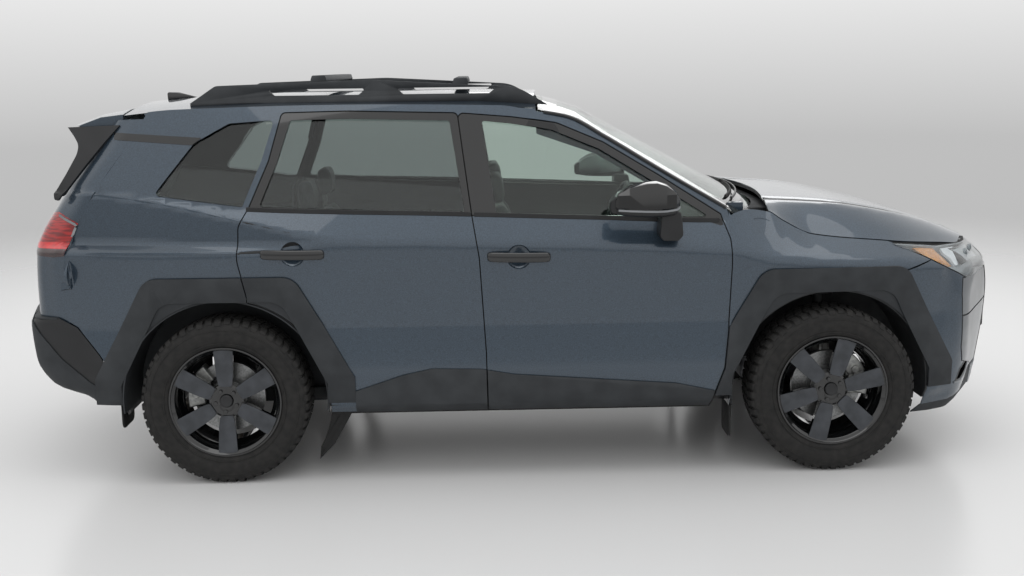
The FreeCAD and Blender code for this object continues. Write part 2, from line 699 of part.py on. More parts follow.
def arch_liner(axle, inner, outer, closed):
    """Half-round liner over a wheel, with or without an inner wall."""
    ring = Part.makeCylinder(size.arch_radius + LINER_LAP, outer - inner, Vector(axle, inner, hub_height),
                             Vector(0, 1, 0))
    start = inner + liner_wall if closed else inner - 1
    ring = ring.cut(Part.makeCylinder(size.arch_radius + LINER_LAP - liner_wall, outer - start + 1,
                                      Vector(axle, start, hub_height), Vector(0, 1, 0)))
    return ring.common(box(axle - 600, axle + 600, 0, 1300, sill, 2000)).cut(outside)


wheelhouse = arch_liner(rear_axle, wheelhouse_inner, wheelhouse_outer, True)
wheelhouse = wheelhouse.cut(box(rear_axle - size.arch_radius + 6, rear_axle + size.arch_radius - 6,
                                wheelhouse_inner - 5, wheelhouse_inner + liner_wall + 1, 0, 520))
wheelhouse = wheelhouse.cut(box(rear_axle + 400, rear_axle + 480, 580, 650, 290, 400))
side_body = fused([quarter_skin, tail_corner, post, rocker, rocker_outer, hinge_pillar, hinge_post,
                   lock_pillar,
                   lock_post, lock_pillar_top, pillar_foot, screen_pillar, wheelhouse])
side_body = side_body.cut(front_arch)
lamp_post = Part.makeLoft([corner_post(x, z, 3, 27) for x, z in tail_seam[1:-1]], True, False)
lamp_post = lamp_post.common(lamp_outside)
tail_lamp = fused([tail_lamp_side, tail_lamp_back, lamp_post])
side_body = side_body.cut(tail_lamp)
inner_post = Part.makeLoft([corner_post(x, z, 31, 58) for x, z in tail_seam[1:-1]], True, False)
side_body = fused([side_body, inner_post]).cut(tail_lamp)
shapes["tail_lamps"] = Part.makeCompound([tail_lamp, mirrored(tail_lamp)])

# Roof

ROOF_SKIN = 20


def roof_section(x):
    """Closed cross-section of the roof between the two roof rails of the body."""
    y = glass_top_y(x)
    z = glass_top_z(x)
    crown = roof_centre_z(x)
    left, right, top = Vector(x, y, z), Vector(x, -y, z), Vector(x, 0, crown)
    drop = Vector(0, 0, -ROOF_SKIN)
    lip = Vector(0, -size.frame_thickness, 0)
    return Part.Wire([Part.Arc(right, top, left).toShape(), Part.LineSegment(left, left + lip).toShape(),
                      Part.Arc(left + lip, top + drop, right - lip).toShape(),
                      Part.LineSegment(right - lip, right).toShape()])


roof_centre_z = line_through([(rear_axle - 700, size.roof_height - 62),
                              (rear_axle - 300, size.roof_height - 22),
                              (rear_axle + 200, size.roof_height), (mid_shut, size.roof_height + 2),
                              (front_axle - 1300, size.roof_height - 12)])

def roof_fill(x):
    """Section of the space below the roof's outer surface."""
    y, z = glass_top_y(x), glass_top_z(x)
    left, right = Vector(x, y, z), Vector(x, -y, z)
    down = Vector(0, 0, -300)
    return Part.Wire([Part.Arc(right, Vector(x, 0, roof_centre_z(x)), left).toShape(),
                      Part.LineSegment(left, left + down).toShape(),
                      Part.LineSegment(left + down, right + down).toShape(),
                      Part.LineSegment(right + down, right).toShape()])


roof_full = Part.makeLoft([roof_section(x) for x in house_stations], True, True)
roof_plan = [(rear_axle - 430, -760), (rear_axle - 430, 760), (front_axle - 1300, 760),
             (front_axle - 1300, 400, 400),
             (front_axle - 1268, 0, 2000), (front_axle - 1300, -400, 400), (front_axle - 1300, -760)]
shapes["roof_panel"] = roof_full.common(slab(roof_plan, plan_plane, 1400, 1900))

# Windscreen between the screen pillars


def screen_arc(x, z, lead, rise, depth, side):
    """Arc across the car through two pillar points and a middle point further forward."""
    y = house_y(x, z) * side
    into = Vector(-lead, 0, -rise).normalize() * depth
    return Part.Arc(Vector(x, y, z) + into, Vector(x + lead, 0, z + rise) + into, Vector(x, -y, z) + into)


SCREEN_LEADS = [(front_axle - 1292, belt + 481, 18, 60), (front_axle - 1159, belt + 455, 84, 30),
                (front_axle - 1003, belt + 370, 132, 2), (front_axle - 760, belt + 222, 172, 0),
                (front_axle - 472, belt + 52, 200, 0), (front_axle - 431, belt + 28, 205, 0)]


def screen_wire(x, z, lead, rise):
    front = screen_arc(x, z, lead, rise, -fit, LEFT)
    back = screen_arc(x, z, lead, rise, 2 * size.glass_thickness, RIGHT)
    return Part.Wire([front.toShape(), Part.LineSegment(front.EndPoint, back.StartPoint).toShape(),
                      back.toShape(), Part.LineSegment(back.EndPoint, front.StartPoint).toShape()])


shapes["windscreen"] = Part.makeLoft([screen_wire(*entry) for entry in SCREEN_LEADS], True, True)

# Bonnet with a raised shoulder along each side

BONNET_SKIN = 24
bonnet_crease_z = line_through([(front_axle - 300, belt + 68), (front_axle + 42, belt + 46),
                                (front_axle + 346, belt - 6), (front_axle + 530, belt - 56),
                                (front_axle + 690, belt - 116), (front_axle + 830, belt - 172)])
bonnet_crease_y = line_through([(front_axle - 300, 630), (front_axle + 42, 610), (front_axle + 346, 560),
                                (front_axle + 530, 500), (front_axle + 690, 430), (front_axle + 830, 380)])


def bonnet_section(x):
    edge = Vector(x, belt_y(x) - size.shut_gap, belt_z(x) + 2)
    ridge = Vector(x, bonnet_crease_y(x), max(bonnet_crease_z(x), edge.z + 4))
    top = Vector(x, 0, ridge.z + 8)
    drop = Vector(0, 0, -BONNET_SKIN)
    far_edge, far_ridge = Vector(x, -edge.y, edge.z), Vector(x, -ridge.y, ridge.z)
    return Part.Wire([
        Part.LineSegment(far_edge, far_ridge).toShape(), Part.Arc(far_ridge, top, ridge).toShape(),
        Part.LineSegment(ridge, edge).toShape(), Part.LineSegment(edge, edge + drop).toShape(),
        Part.LineSegment(edge + drop, ridge + drop).toShape(),
        Part.Arc(ridge + drop, top + drop, far_ridge + drop).toShape(),
        Part.LineSegment(far_ridge + drop, far_edge + drop).toShape(),
        Part.LineSegment(far_edge + drop, far_edge).toShape()])


bonnet_stations = [front_axle - 285, front_axle - 208, front_axle - 150, front_axle - 80, front_axle + 40,
                   front_axle + 150, front_axle + 250, front_axle + 350, front_axle + 440, front_axle + 530,
                   front_axle + 610, front_axle + 690, front_axle + 760, front_axle + 830]
bonnet_plan = [(front_axle - 268, -900), (front_axle - 268, -700), (front_axle - 180, 0, 2500),
               (front_axle - 268, 700), (front_axle - 268, 900), (front_axle + 600, 900),
               (front_axle + 640, 620),
               (front_axle + 690, 520, 60), (nose - 145, 200, 300), (nose - 145, -200, 300),
               (front_axle + 690, -520, 60), (front_axle + 640, -620), (front_axle + 600, -900)]
bonnet_full = Part.makeLoft([bonnet_section(x) for x in bonnet_stations], True, True)
shapes["bonnet"] = bonnet_full.common(slab(bonnet_plan, plan_plane, 700, 1400))

# Nose: plan curves stacked upwards, from the front wings round the grille

NOSE_BLEND_X = front_axle + 585
# Height, corner set in from the nose, corner half width, shoulder set in, shoulder half width, middle set in
nose_levels = [(sill - 38, 420, 740, 240, 480, 150), (sill + 30, 310, 745, 130, 440, 60),
               (sill + 100, 280, 745, 80, 420, 28), (sill + 300, 286, 772, 40, 400, 8),
               (sill + 445, 290, 780, 22, 380, 0), (sill + 570, 262, 745, 42, 380, 14),
               (shoulder - 14, 250, 610, 150, 330, 120)]


def nose_points(height, corner, corner_width, cheek, cheek_width, middle):
    return [(NOSE_BLEND_X, skin_y(NOSE_BLEND_X, height) if height > sill else corner_width + 40),
            (nose - corner, corner_width), (nose - cheek, cheek_width), (nose - middle, 0)]


nose_shell = wrap_shell([(level[0], nose_points(*level)) for level in nose_levels], size.frame_thickness)
nose_lamp_shell = wrap_shell([(level[0], nose_points(*level)) for level in nose_levels], size.headlamp_depth)
grille_outline = [(-600, sill + 92, 40), (600, sill + 92, 40), (640, sill + 300, 60), (560, sill + 560, 60),
                  (-560, sill + 560, 60), (-640, sill + 300, 60)]
grille_slab = slab(grille_outline, front_plane, front_axle + 500, nose + 100)
guard_outline = [(-620, sill - 60), (620, sill - 60), (600, sill + 88), (-600, sill + 88)]
guard_slab = slab(guard_outline, front_plane, front_axle + 400, nose + 100)
headlamp_outline = [(front_axle + 287, shoulder + 16, 6), (front_axle + 415, shoulder - 44),
                    (front_axle + 597, shoulder - 132, 20), (front_axle + 657, shoulder - 168, 20),
                    (nose, shoulder - 160), (nose, shoulder + 60), (front_axle + 300, shoulder + 60)]
headlamp_region = side_slab(headlamp_outline, LEFT, size.headlamp_inner_y)
wing_region = [(front_axle - 458, sill), (front_axle - 466, shoulder), (front_axle - 458, belt + 120),
               (front_axle + 500, belt + 120), (NOSE_BLEND_X, belt), (NOSE_BLEND_X, shoulder - 60),
               (front_axle + 390, shoulder - 60), (front_axle + 311, shoulder - 97),
               (front_axle + 273, shoulder - 116), (front_axle + 200, hub_height + 300), (front_axle, sill)]
wing = skin_shell.common(side_slab(wing_region, LEFT)).cut(front_arch).cut(headlamp_region)
wing = wing.cut(grown_slab(front_door_outline, shut, LEFT))
side_body = side_body.cut(wing)
shapes["body_sides"] = Part.makeCompound([side_body, mirrored(side_body)])
screen = shapes["windscreen"].cut(shapes["body_sides"])
shapes["windscreen"] = max(screen.Solids, key=lambda piece: piece.Volume)
cheek_region = [(front_axle + 390, shoulder - 60), (front_axle + 311, shoulder - 97),
                (front_axle + 273, shoulder - 116), (front_axle + 200, hub_height + 300),
                (front_axle + 200, sill), (NOSE_BLEND_X, sill), (NOSE_BLEND_X, shoulder - 60)]
cheek = wall_shell.common(side_slab(cheek_region, LEFT)).cut(front_arch).cut(headlamp_region)
bonnet_gap = Part.Face(rounded_wire(bonnet_plan, plan_plane).makeOffset2D(shut + 1))
bonnet_gap.translate(Vector(0, 0, 700))
bonnet_gap = bonnet_gap.extrude(Vector(0, 0, 700))
shapes["front_grille"] = nose_shell.common(grille_slab).cut(headlamp_region).cut(mirrored(headlamp_region))
shapes["front_guard"] = nose_shell.common(guard_slab)
lamp_side = side_shell(side_stations, 0, size.headlamp_depth).common(headlamp_region)
lamp_front = nose_lamp_shell.common(headlamp_region)


# Parametric bodies: sketches whose corners are driven by sums of named sizes

def amount(words):
    """Value of a sum such as 'rim_radius - rim_lip'."""
    total, sign = 0.0, 1
    for word in words.split():
        if word in "+-":
            sign = 1 if word == "+" else -1
        else:
            total += sign * (getattr(size, word) if word in SIZES else float(word))
            sign = 1
    return total


def formula(words):
    """The same sum as an expression on the spreadsheet."""
    return " ".join("sizes." + word if word in SIZES else word for word in words.split())


def new_body(name):
    body = document.addObject("PartDesign::Body", name)
    body.Label = name
    return body


def sketch_on(body, role, name, offset=None):
    """Empty sketch on one of the body's origin planes."""
    sketch = body.newObject("Sketcher::SketchObject", name)
    plane = next(f for f in body.Origin.OriginFeatures if f.Role == role)
    sketch.AttachmentSupport = [(plane, "")]
    sketch.MapMode = "FlatFace"
    if offset:
        sketch.setExpression("AttachmentOffset.Base.z", formula(offset))
    return sketch


def draw_profile(sketch, points):
    """Closed outline with every corner placed from the origin by an expression."""
    corners = [Vector(amount(a), amount(b), 0) for a, b in points]
    first = sketch.GeometryCount
    count = len(points)
    for i in range(count):
        sketch.addGeometry(Part.LineSegment(corners[i], corners[(i + 1) % count]), False)
    for i in range(count):
        sketch.addConstraint(Sketcher.Constraint("Coincident", first + i, 2, first + (i + 1) % count, 1))
    for i, (a, b) in enumerate(points):
        for kind, words, value in (("DistanceX", a, corners[i].x), ("DistanceY", b, corners[i].y)):
            number = sketch.addConstraint(Sketcher.Constraint(kind, -1, 1, first + i, 1, value))
            sketch.setExpression("Constraints[%d]" % number, formula(words))


def revolve(body, sketch, name):
    feature = body.newObject("PartDesign::Revolution", name)
    feature.Profile = sketch
    feature.ReferenceAxis = (sketch, ["H_Axis"])
    feature.Angle = 360
    return feature


def pad(body, sketch, name, length, backwards=False):
    feature = body.newObject("PartDesign::Pad", name)
    feature.Profile = sketch
    feature.setExpression("Length", formula(length))
    feature.Reversed = backwards
    return feature


# Tyre: hollow carcass with tread shoulders, turned about the wheel's axis.
# In these sketches the first number runs outwards along the axle, the second is a radius.

TYRE_PROFILE = [("0 - tread_half_width + 18", "tyre_radius"), ("tread_half_width - 18", "tyre_radius"),
                ("tread_half_width", "tyre_radius - tread_edge_drop"),
                ("tyre_half_width - 4", "tyre_radius - 36"), ("tyre_half_width", "tyre_radius - 64"),
                ("tyre_half_width - 5", "rim_radius + 22"), ("rim_half_width - 8.4", "rim_radius + 2"),
                ("rim_half_width - 8.4", "rim_radius - 17.7"), ("rim_half_width - 26", "rim_radius - 17.7"),
                ("rim_half_width - 16", "rim_radius + 14"), ("tyre_half_width - 16", "tyre_radius - 64"),
                ("tread_half_width - 18", "tyre_radius - 20"),
                ("0 - tread_half_width + 18", "tyre_radius - 20"),
                ("0 - tyre_half_width + 16", "tyre_radius - 64"),
                ("0 - rim_half_width + 16", "rim_radius + 14"),
                ("0 - rim_half_width + 26", "rim_radius - 17.7"),
                ("0 - rim_half_width + 8.4", "rim_radius - 17.7"),
                ("0 - rim_half_width + 8.4", "rim_radius + 2"),
                ("0 - tyre_half_width + 5", "rim_radius + 22"),
                ("0 - tyre_half_width", "tyre_radius - 64"), ("0 - tyre_half_width + 4", "tyre_radius - 36"),
                ("0 - tread_half_width", "tyre_radius - tread_edge_drop")]

# Rim: flanges, bead seats and drop well, then the hub disc
RIM_PROFILE = [("0 - rim_half_width", "rim_radius"), ("8 - rim_half_width", "rim_radius"),
               ("8 - rim_half_width", "rim_radius - 18"), ("30 - rim_half_width", "rim_radius - 18"),
               ("46 - rim_half_width", "rim_well_radius + rim_wall"), ("0", "rim_well_radius + rim_wall"),
               ("20", "rim_radius - 24"), ("rim_half_width - 30", "rim_radius - 18"),
               ("rim_half_width - 8", "rim_radius - 18"), ("rim_half_width - 8", "rim_radius"),
               ("rim_half_width", "rim_radius"), ("rim_half_width", "rim_radius - 10"),
               ("rim_half_width - 12", "rim_radius - 26"), ("24", "rim_radius - 32"),
               ("6", "rim_well_radius"), ("42 - rim_half_width", "rim_well_radius"),
               ("26 - rim_half_width", "rim_radius - 27"), ("0 - rim_half_width", "rim_radius - 14")]
HUB_PROFILE = [("spoke_face - 30", "hub_bore_radius"), ("spoke_face - 4", "hub_bore_radius"),
               ("spoke_face - 4", "hub_radius - 12"), ("spoke_face", "hub_radius"),
               ("spoke_face - 30", "hub_radius")]
DISC_PROFILE = [("0 - disc_offset - disc_thickness", "hub_radius + 10"),
                ("0 - disc_offset - disc_thickness", "disc_radius"),
                ("0 - disc_offset", "disc_radius"), ("0 - disc_offset", "hub_radius + 6"),
                ("spoke_face - 30", "hub_radius + 2"), ("spoke_face - 30", "hub_bore_radius"),
                ("spoke_face - 38", "hub_bore_radius"), ("spoke_face - 38", "hub_radius - 6"),
                ("0 - disc_offset - disc_thickness", "hub_radius - 2")]


def tyre_body(name):
    body = new_body(name)
    sketch = sketch_on(body, "YZ_Plane", name + "_profile")
    draw_profile(sketch, TYRE_PROFILE)
    revolve(body, sketch, name + "_carcass")
    return body


def rim_body(name):
    """Rim with broad flat spokes, hub and brake disc, its outer face towards +Y."""
    body = new_body(name)
    barrel = sketch_on(body, "YZ_Plane", name + "_barrel_profile")
    draw_profile(barrel, RIM_PROFILE)
    revolve(body, barrel, name + "_barrel")
    hub = sketch_on(body, "YZ_Plane", name + "_hub_profile")
    draw_profile(hub, HUB_PROFILE)
    revolve(body, hub, name + "_hub")
    disc = sketch_on(body, "YZ_Plane", name + "_disc_profile")
    draw_profile(disc, DISC_PROFILE)
    revolve(body, disc, name + "_disc")
    spoke = sketch_on(body, "XZ_Plane", name + "_spoke_outline", "0 - spoke_face")
    draw_profile(spoke, [("0 - spoke_root_half", "hub_radius - 20"), ("spoke_root_half", "hub_radius - 20"),
                         ("spoke_tip_half", "rim_radius - 24"), ("0 - spoke_tip_half", "rim_radius - 24")])
    arm = pad(body, spoke, name + "_spoke", "spoke_thickness")
    spin = body.newObject("PartDesign::PolarPattern", name + "_spokes")
    spin.Originals = [arm]
    axis = next(f for f in body.Origin.OriginFeatures if f.Role == "Y_Axis")
    spin.Axis = (axis, [""])
    spin.Angle = 360
    spin.setExpression("Occurrences", "sizes.spoke_count")
    body.Tip = spin
    return body


# Wing edge rails, bulkhead, liners and the rest of the front structure

bulkhead_x = front_axle - 375


def rail_rectangle(x, inner, outer, low, high):
    """Rectangle below the wing's top edge at one station."""
    y, z = belt_y(x), belt_z(x)
    corners = [(y + inner, z + low), (y + outer, z + low), (y + outer, z + high), (y + inner, z + high)]
    return Part.makePolygon([Vector(x, a, b) for a, b in corners + corners[:1]])


rail_stations = [bulkhead_x + 30, front_axle - 270, front_axle - 208, front_axle - 80, front_axle + 150,
                 front_axle + 350, front_axle + 575]
wing_lip = Part.makeLoft([rail_rectangle(x, -34, 34, -52, -34) for x in rail_stations], True, False)
edge_rail = Part.makeLoft([rail_rectangle(x, -64, -30, -95, -52) for x in rail_stations], True, False)


def bonnet_clearance_section(x):
    """The space that the bonnet's edge needs beside the wing."""
    y, z = belt_y(x), belt_z(x)
    corners = [(0, z - 34), (y, z - 34), (y, z + 40), (0, z + 240)]
    return Part.makePolygon([Vector(x, a, b) for a, b in corners + corners[:1]])


# The rear corner swings back past the first section as the bonnet lifts
bonnet_space = Part.makeLoft([bonnet_clearance_section(x) for x in [front_axle - 300] + bonnet_stations],
                             True, True)
bonnet_spaces = fused([bonnet_space, mirrored(bonnet_space)]).common(bonnet_gap)
fascia = nose_shell.cut(grille_slab).cut(guard_slab).cut(headlamp_region).cut(mirrored(headlamp_region))
fascia = fascia.cut(bonnet_spaces)
front_wing = fused([wing.cut(bonnet_space), wing_lip.cut(headlamp_region)])
shapes["front_wings"] = Part.makeCompound([front_wing, mirrored(front_wing)])
screen = shapes["windscreen"].cut(shapes["front_wings"])
shapes["windscreen"] = screen.cut(shapes["front_wings"].translated(Vector(-fit / 2, 0, fit / 2)))

kingpin_low = Vector(front_axle, size.kingpin_low_y, size.kingpin_low_z)
kingpin_top = Vector(front_axle, size.kingpin_top_y, size.kingpin_top_z)
kingpin_way = kingpin_top - kingpin_low


def kingpin_at(height):
    """Point of the left steering axis at a height."""
    return kingpin_low + kingpin_way * ((height - kingpin_low.z) / kingpin_way.z)


apron_in, apron_out = 455, 475
engine_half = size.engine_width / 2
strut_hole = tube_between(kingpin_at(600), kingpin_at(940), size.spring_radius + 16)
front_liner = Part.makeCylinder(size.arch_radius - fit, wheelhouse_outer - apron_out,
                                Vector(front_axle, apron_out, hub_height), Vector(0, 1, 0))
front_liner = front_liner.cut(Part.makeCylinder(size.arch_radius - fit - liner_wall,
                                                wheelhouse_outer - apron_out,
                                                Vector(front_axle, apron_out, hub_height), Vector(0, 1, 0)))
front_liner = front_liner.common(box(front_axle - 600, front_axle + 600, 0, 1300, sill, 2000)).cut(strut_hole)
front_liner = front_liner.cut(outside)
half_structure = [
    box(bulkhead_x + 30, front_axle + 580, apron_in, apron_out, sill + 130, sill + 600),
    box(front_axle - 95, front_axle + 95, apron_out, 700, size.kingpin_top_z, size.kingpin_top_z + 12),
    box(front_axle - 120, front_axle - 20, engine_half, apron_in, sill + 400, sill + 470),
    box(front_axle + 575, front_axle + 720, 360, 435, sill + 210, sill + 310),
    front_liner, edge_rail]
half_structure = fused(half_structure)
bulkhead = fused([box(bulkhead_x, bulkhead_x + 30, -apron_out, apron_out, size.floor_height, belt - 45),
                  box(bulkhead_x, bulkhead_x + 30, -740, 740, hub_height + 300, belt - 45)])
radiator_support = box(front_axle + 555, front_axle + 585, -640, 640, sill + 120, sill + 600)
crash_beam = box(front_axle + 720, front_axle + 775, -435, 435, sill + 200, sill + 320)
cowl = box(front_axle - 440, front_axle - 190, -600, 600, belt - 45, belt + 28)
buffer_x = front_axle + 570
buffer = Part.makeCylinder(12, 300, Vector(buffer_x, bonnet_crease_y(buffer_x), sill + 590))
buffer = buffer.cut(shapes["bonnet"].translated(Vector(0, 0, -fit)))
buffer = min(buffer.Solids, key=lambda piece: piece.CenterOfMass.z)
shapes["front_structure"] = fused([half_structure, mirrored(half_structure), bulkhead, radiator_support,
                                   crash_beam, cowl, buffer, mirrored(buffer)])

# Floor with a raised load floor behind the rear seats

heel_x = rear_axle + 360
load_floor = 560
thick = size.floor_thickness
low_floor = size.floor_height
floor = fused([
    box(heel_x, bulkhead_x, -640, 640, low_floor, low_floor + thick),
    box(heel_x, bulkhead_x - 40, -110, 110, low_floor + thick, low_floor + 150),
    box(heel_x, heel_x + thick, -wheelhouse_inner, wheelhouse_inner, low_floor, load_floor + thick),
    box(tail + 180, heel_x + thick, -wheelhouse_inner, wheelhouse_inner, load_floor, load_floor + thick),
    box(tail + 120, tail + 180, -560, 560, sill + 180, sill + 440),
    box(tail + 110.5, tail + 150, -25, 25, sill + 430, sill + 500)])
for side in (1, -1):
    for x0, x1, y in ((heel_x - 1, rear_axle + size.arch_radius + 4, wheelhouse_inner),
                      (front_axle - size.arch_radius - 4, bulkhead_x + 1, apron_out)):
        notch = box(x0, x1, y, 700, sill, sill + 100)
        floor = floor.cut(on_side(notch, side))
floor = floor.cut(shapes["rear_bumper"]).cut(tail_corner).cut(mirrored(tail_corner))
shapes["floor_pan"] = floor.cut(shapes["tailgate"].translated(Vector(fit, 0, 0)))

# Suspension

def hub_carrier(axle, side_shift):
    """Hub carrier, spindle and brake caliper on the left of an axle."""
    w = size.half_track
    carrier = Part.makeCylinder(62, 80, Vector(axle, 690, hub_height), Vector(0, 1, 0))
    spindle = Part.makeCylinder(size.hub_bore_radius - fit, 96, Vector(axle, 769, hub_height),
                                Vector(0, 1, 0))
    disc_in = w - size.disc_offset - size.disc_thickness
    pad_ring = Part.makeCylinder(size.disc_radius + 16, size.disc_thickness + 30,
                                 Vector(axle, disc_in - 15, hub_height), Vector(0, 1, 0))
    pad_ring = pad_ring.cut(Part.makeCylinder(size.disc_radius - 58, size.disc_thickness + 30,
                                              Vector(axle, disc_in - 15, hub_height), Vector(0, 1, 0)))
    pad_ring = pad_ring.cut(Part.makeCylinder(size.disc_radius + 5, size.disc_thickness + 8,
                                              Vector(axle, disc_in - 4, hub_height), Vector(0, 1, 0)))
    reach = side_shift * 300
    sector = box(min(axle, axle + reach), max(axle, axle + reach), 600, 900, hub_height - 40, hub_height + 90)
    caliper = pad_ring.common(sector)
    bracket = box(min(axle, axle + side_shift * 130), max(axle, axle + side_shift * 130), 755, disc_in - 5,
                  hub_height - 20, hub_height + 50)
    return fused([carrier, spindle, bracket, caliper])


clamp = tube_between(kingpin_at(500), kingpin_at(556), 44).cut(
    tube_between(kingpin_at(470), kingpin_at(600), size.strut_radius + 1))
knuckle = fused([
    hub_carrier(front_axle, 1),
    box(front_axle - 20, front_axle + 20, 714, 742, hub_height + 20, 555),
    Part.makeCylinder(24, 40, Vector(front_axle, size.kingpin_low_y, size.kingpin_low_z + 12),
                      Vector(0, 0, 1)),
    box(front_axle - 20, front_axle + 20, 720, 764, size.kingpin_low_z + 30, hub_height - 40), clamp])
shapes["knuckle_left"] = knuckle
shapes["knuckle_right"] = mirrored(knuckle)
arm_low, arm_high = 200, 226
lower_arm = slab([(front_axle - 170, 340), (front_axle + 70, 340), (front_axle + 26, size.kingpin_low_y, 20),
                  (front_axle - 26, size.kingpin_low_y, 20)], plan_plane, arm_low, arm_high)
ball_boss = Part.makeCylinder(24, 30, Vector(front_axle, size.kingpin_low_y, arm_low), Vector(0, 0, 1))
strut = tube_between(kingpin_at(472), kingpin_top, size.strut_radius)
spring = tube_between(kingpin_at(752), kingpin_at(872), size.spring_radius)
strut = fused([strut, spring, tube_between(kingpin_at(866), kingpin_top, size.spring_radius + 6)])
strut = strut.common(box(front_axle - 200, front_axle + 200, 300, 900, 300, size.kingpin_top_z))
subframe_posts = []
for x in (front_axle - 170, front_axle + 110):
    subframe_posts.append(box(x, x + 60, 340, apron_out, 225, 290))
    subframe_posts.append(box(x, x + 60, engine_half + 15, apron_out, 280, sill + 130))
half_front = [lower_arm, ball_boss] + subframe_posts
subframe = box(front_axle - 190, front_axle + 190, -380, 380, arm_low, 262)
front_lower = fused([subframe] + half_front + [mirrored(piece) for piece in half_front])
shapes["front_suspension"] = Part.makeCompound([front_lower, strut, mirrored(strut)])

rear_beam = Part.makeCylinder(38, 1400, Vector(rear_axle, -700, hub_height), Vector(0, 1, 0))
rear_carrier = hub_carrier(rear_axle, -1)
trailing_arm = fused([box(rear_axle - 40, rear_axle + size.arch_radius, 590, 640, low_floor - 18,
                          hub_height - 10),
                      box(rear_axle + size.arch_radius - 20, rear_axle + size.arch_radius + 120, 590, 640,
                          low_floor - 38, low_floor)])
rear_spring = Part.makeCylinder(60, load_floor - hub_height - 20, Vector(rear_axle, 455, hub_height + 20))
rear_damper = Part.makeCylinder(24, load_floor - hub_height, Vector(rear_axle - 160, 500, hub_height))
damper_foot = box(rear_axle - 190, rear_axle, 480, 520, hub_height - 20, hub_height + 20)
rear_half = [rear_carrier, trailing_arm, rear_spring, rear_damper, damper_foot]
shapes["rear_suspension"] = fused([rear_beam] + rear_half + [mirrored(piece) for piece in rear_half])

# Engine and exhaust

engine = document.addObject("Part::Box", "engine_block")
exhaust_z = low_floor - 28
exhaust = [Part.makeCylinder(28, front_axle - 420 - (rear_axle + 300), Vector(rear_axle + 300, -150,
                                                                              exhaust_z),
                             Vector(1, 0, 0)),
           box(rear_axle - 60, rear_axle + 330, -330, -150 + 40, exhaust_z - 60, exhaust_z + 20),
           Part.makeCylinder(24, 560, Vector(rear_axle - 560, -300, exhaust_z), Vector(1, 0, 0)),
           box(tail + 330, rear_axle - 540, -480, -90, exhaust_z - 30, exhaust_z + 120)]

# Cabin

seat_profile = [(520, 480, 40), (530, 590, 40), (60, 560, 60), (-95, 1130, 40), (-200, 1120, 40), (-120, 540),
                (-60, 470, 20)]
head_profile = [(-105, 1160, 30), (-120, 1330, 40), (-200, 1320, 40), (-195, 1165, 30)]
seat_shift = mid_shut + 235


def moved(points, dx, dz=0):
    """Outline shifted in the side plane, corner radii kept."""
    return [(p[0] + dx, p[1] + dz) + tuple(p[2:]) for p in points]


def seat(at, middle, wide):
    """Cushion, backrest and head restraint of one seat, with its posts and base."""
    low, high = middle - wide / 2, middle + wide / 2
    return [slab(moved(seat_profile, at), side_plane, low, high),
            slab(moved(head_profile, at), side_plane, middle - 130, middle + 130),
            box(at - 170, at - 155, middle - 60, middle - 48, 1080, 1200),
            box(at - 170, at - 155, middle + 48, middle + 60, 1080, 1200),
            box(at + 40, at + 420, middle - 190, middle + 190, size.floor_height + size.floor_thickness, 500)]


front_seat = fused(seat(seat_shift, size.seat_y, size.seat_width))
shapes["front_seats"] = Part.makeCompound([front_seat, mirrored(front_seat)])
bench_at = rear_axle + 480
bench_half = 520
bench = [slab(moved(seat_profile, bench_at, 20), side_plane, -bench_half, bench_half),
         box(bench_at + 20, bench_at + 440, -bench_half, bench_half, low_floor + thick, 520)]
for middle in (-size.seat_y, size.seat_y):
    bench.append(slab(moved(head_profile, bench_at, -20), side_plane, middle - 125, middle + 125))
    bench.append(box(bench_at - 170, bench_at - 155, middle - 30, middle + 30, 1080, 1180))
shapes["rear_bench"] = fused(bench).cut(shapes["floor_pan"])

dash_profile = [(bulkhead_x, belt - 45), (bulkhead_x - 110, belt - 45, 30), (bulkhead_x - 250, belt - 70, 60),
                (bulkhead_x - 330, belt - 190, 60), (bulkhead_x - 240, belt - 420, 60),
                (bulkhead_x, belt - 420)]
dashboard = slab(dash_profile, side_plane, -680, 680)
console = slab([(seat_shift + 420, low_floor + 150), (bulkhead_x - 60, low_floor + 150),
                (bulkhead_x - 60, belt - 300), (bulkhead_x - 260, belt - 330, 40),
                (bulkhead_x - 420, 620, 60),
                (seat_shift + 140, 640, 40), (seat_shift + 140, low_floor + 150)], side_plane, -100, 100)
shapes["dashboard"] = fused([dashboard, console])

wheel_centre = Vector(bulkhead_x - 470, size.seat_y, belt - 110)
lean = Rotation(Vector(0, 1, 0), -66)
ring_turns = [a * math.pi / 4 for a in range(9)]
ring_section = Part.makePolygon([Vector(size.wheel_rim_radius + size.wheel_rim_thickness * math.cos(turn), 0,
                                        size.wheel_rim_thickness * math.sin(turn)) for turn in ring_turns])
steering_ring = Part.Face(ring_section).revolve(Vector(0, 0, 0), Vector(0, 0, 1), 360)
steering_parts = [steering_ring,
                  Part.makeBox(2 * size.wheel_rim_radius - 6, 34, 14,
                               Vector(3 - size.wheel_rim_radius, -17, -7)),
                  Part.makeBox(34, size.wheel_rim_radius, 14, Vector(-17, -size.wheel_rim_radius, -7)),
                  Part.makeCylinder(58, 50, Vector(0, 0, -25)),
                  Part.makeCylinder(30, 240, Vector(0, 0, -250))]
steering = fused(steering_parts)
steering.Placement = Placement(wheel_centre, lean)
shapes["steering_wheel"] = steering.cut(shapes["dashboard"])

# Headlamps and front bumper

headlamp = fused([lamp_side, lamp_front]).cut(bonnet_space).cut(shapes["front_structure"])
shapes["headlamps"] = Part.makeCompound([headlamp, mirrored(headlamp)])
front_bumper = fused([fascia, cheek, mirrored(cheek)])
shapes["front_bumper"] = front_bumper

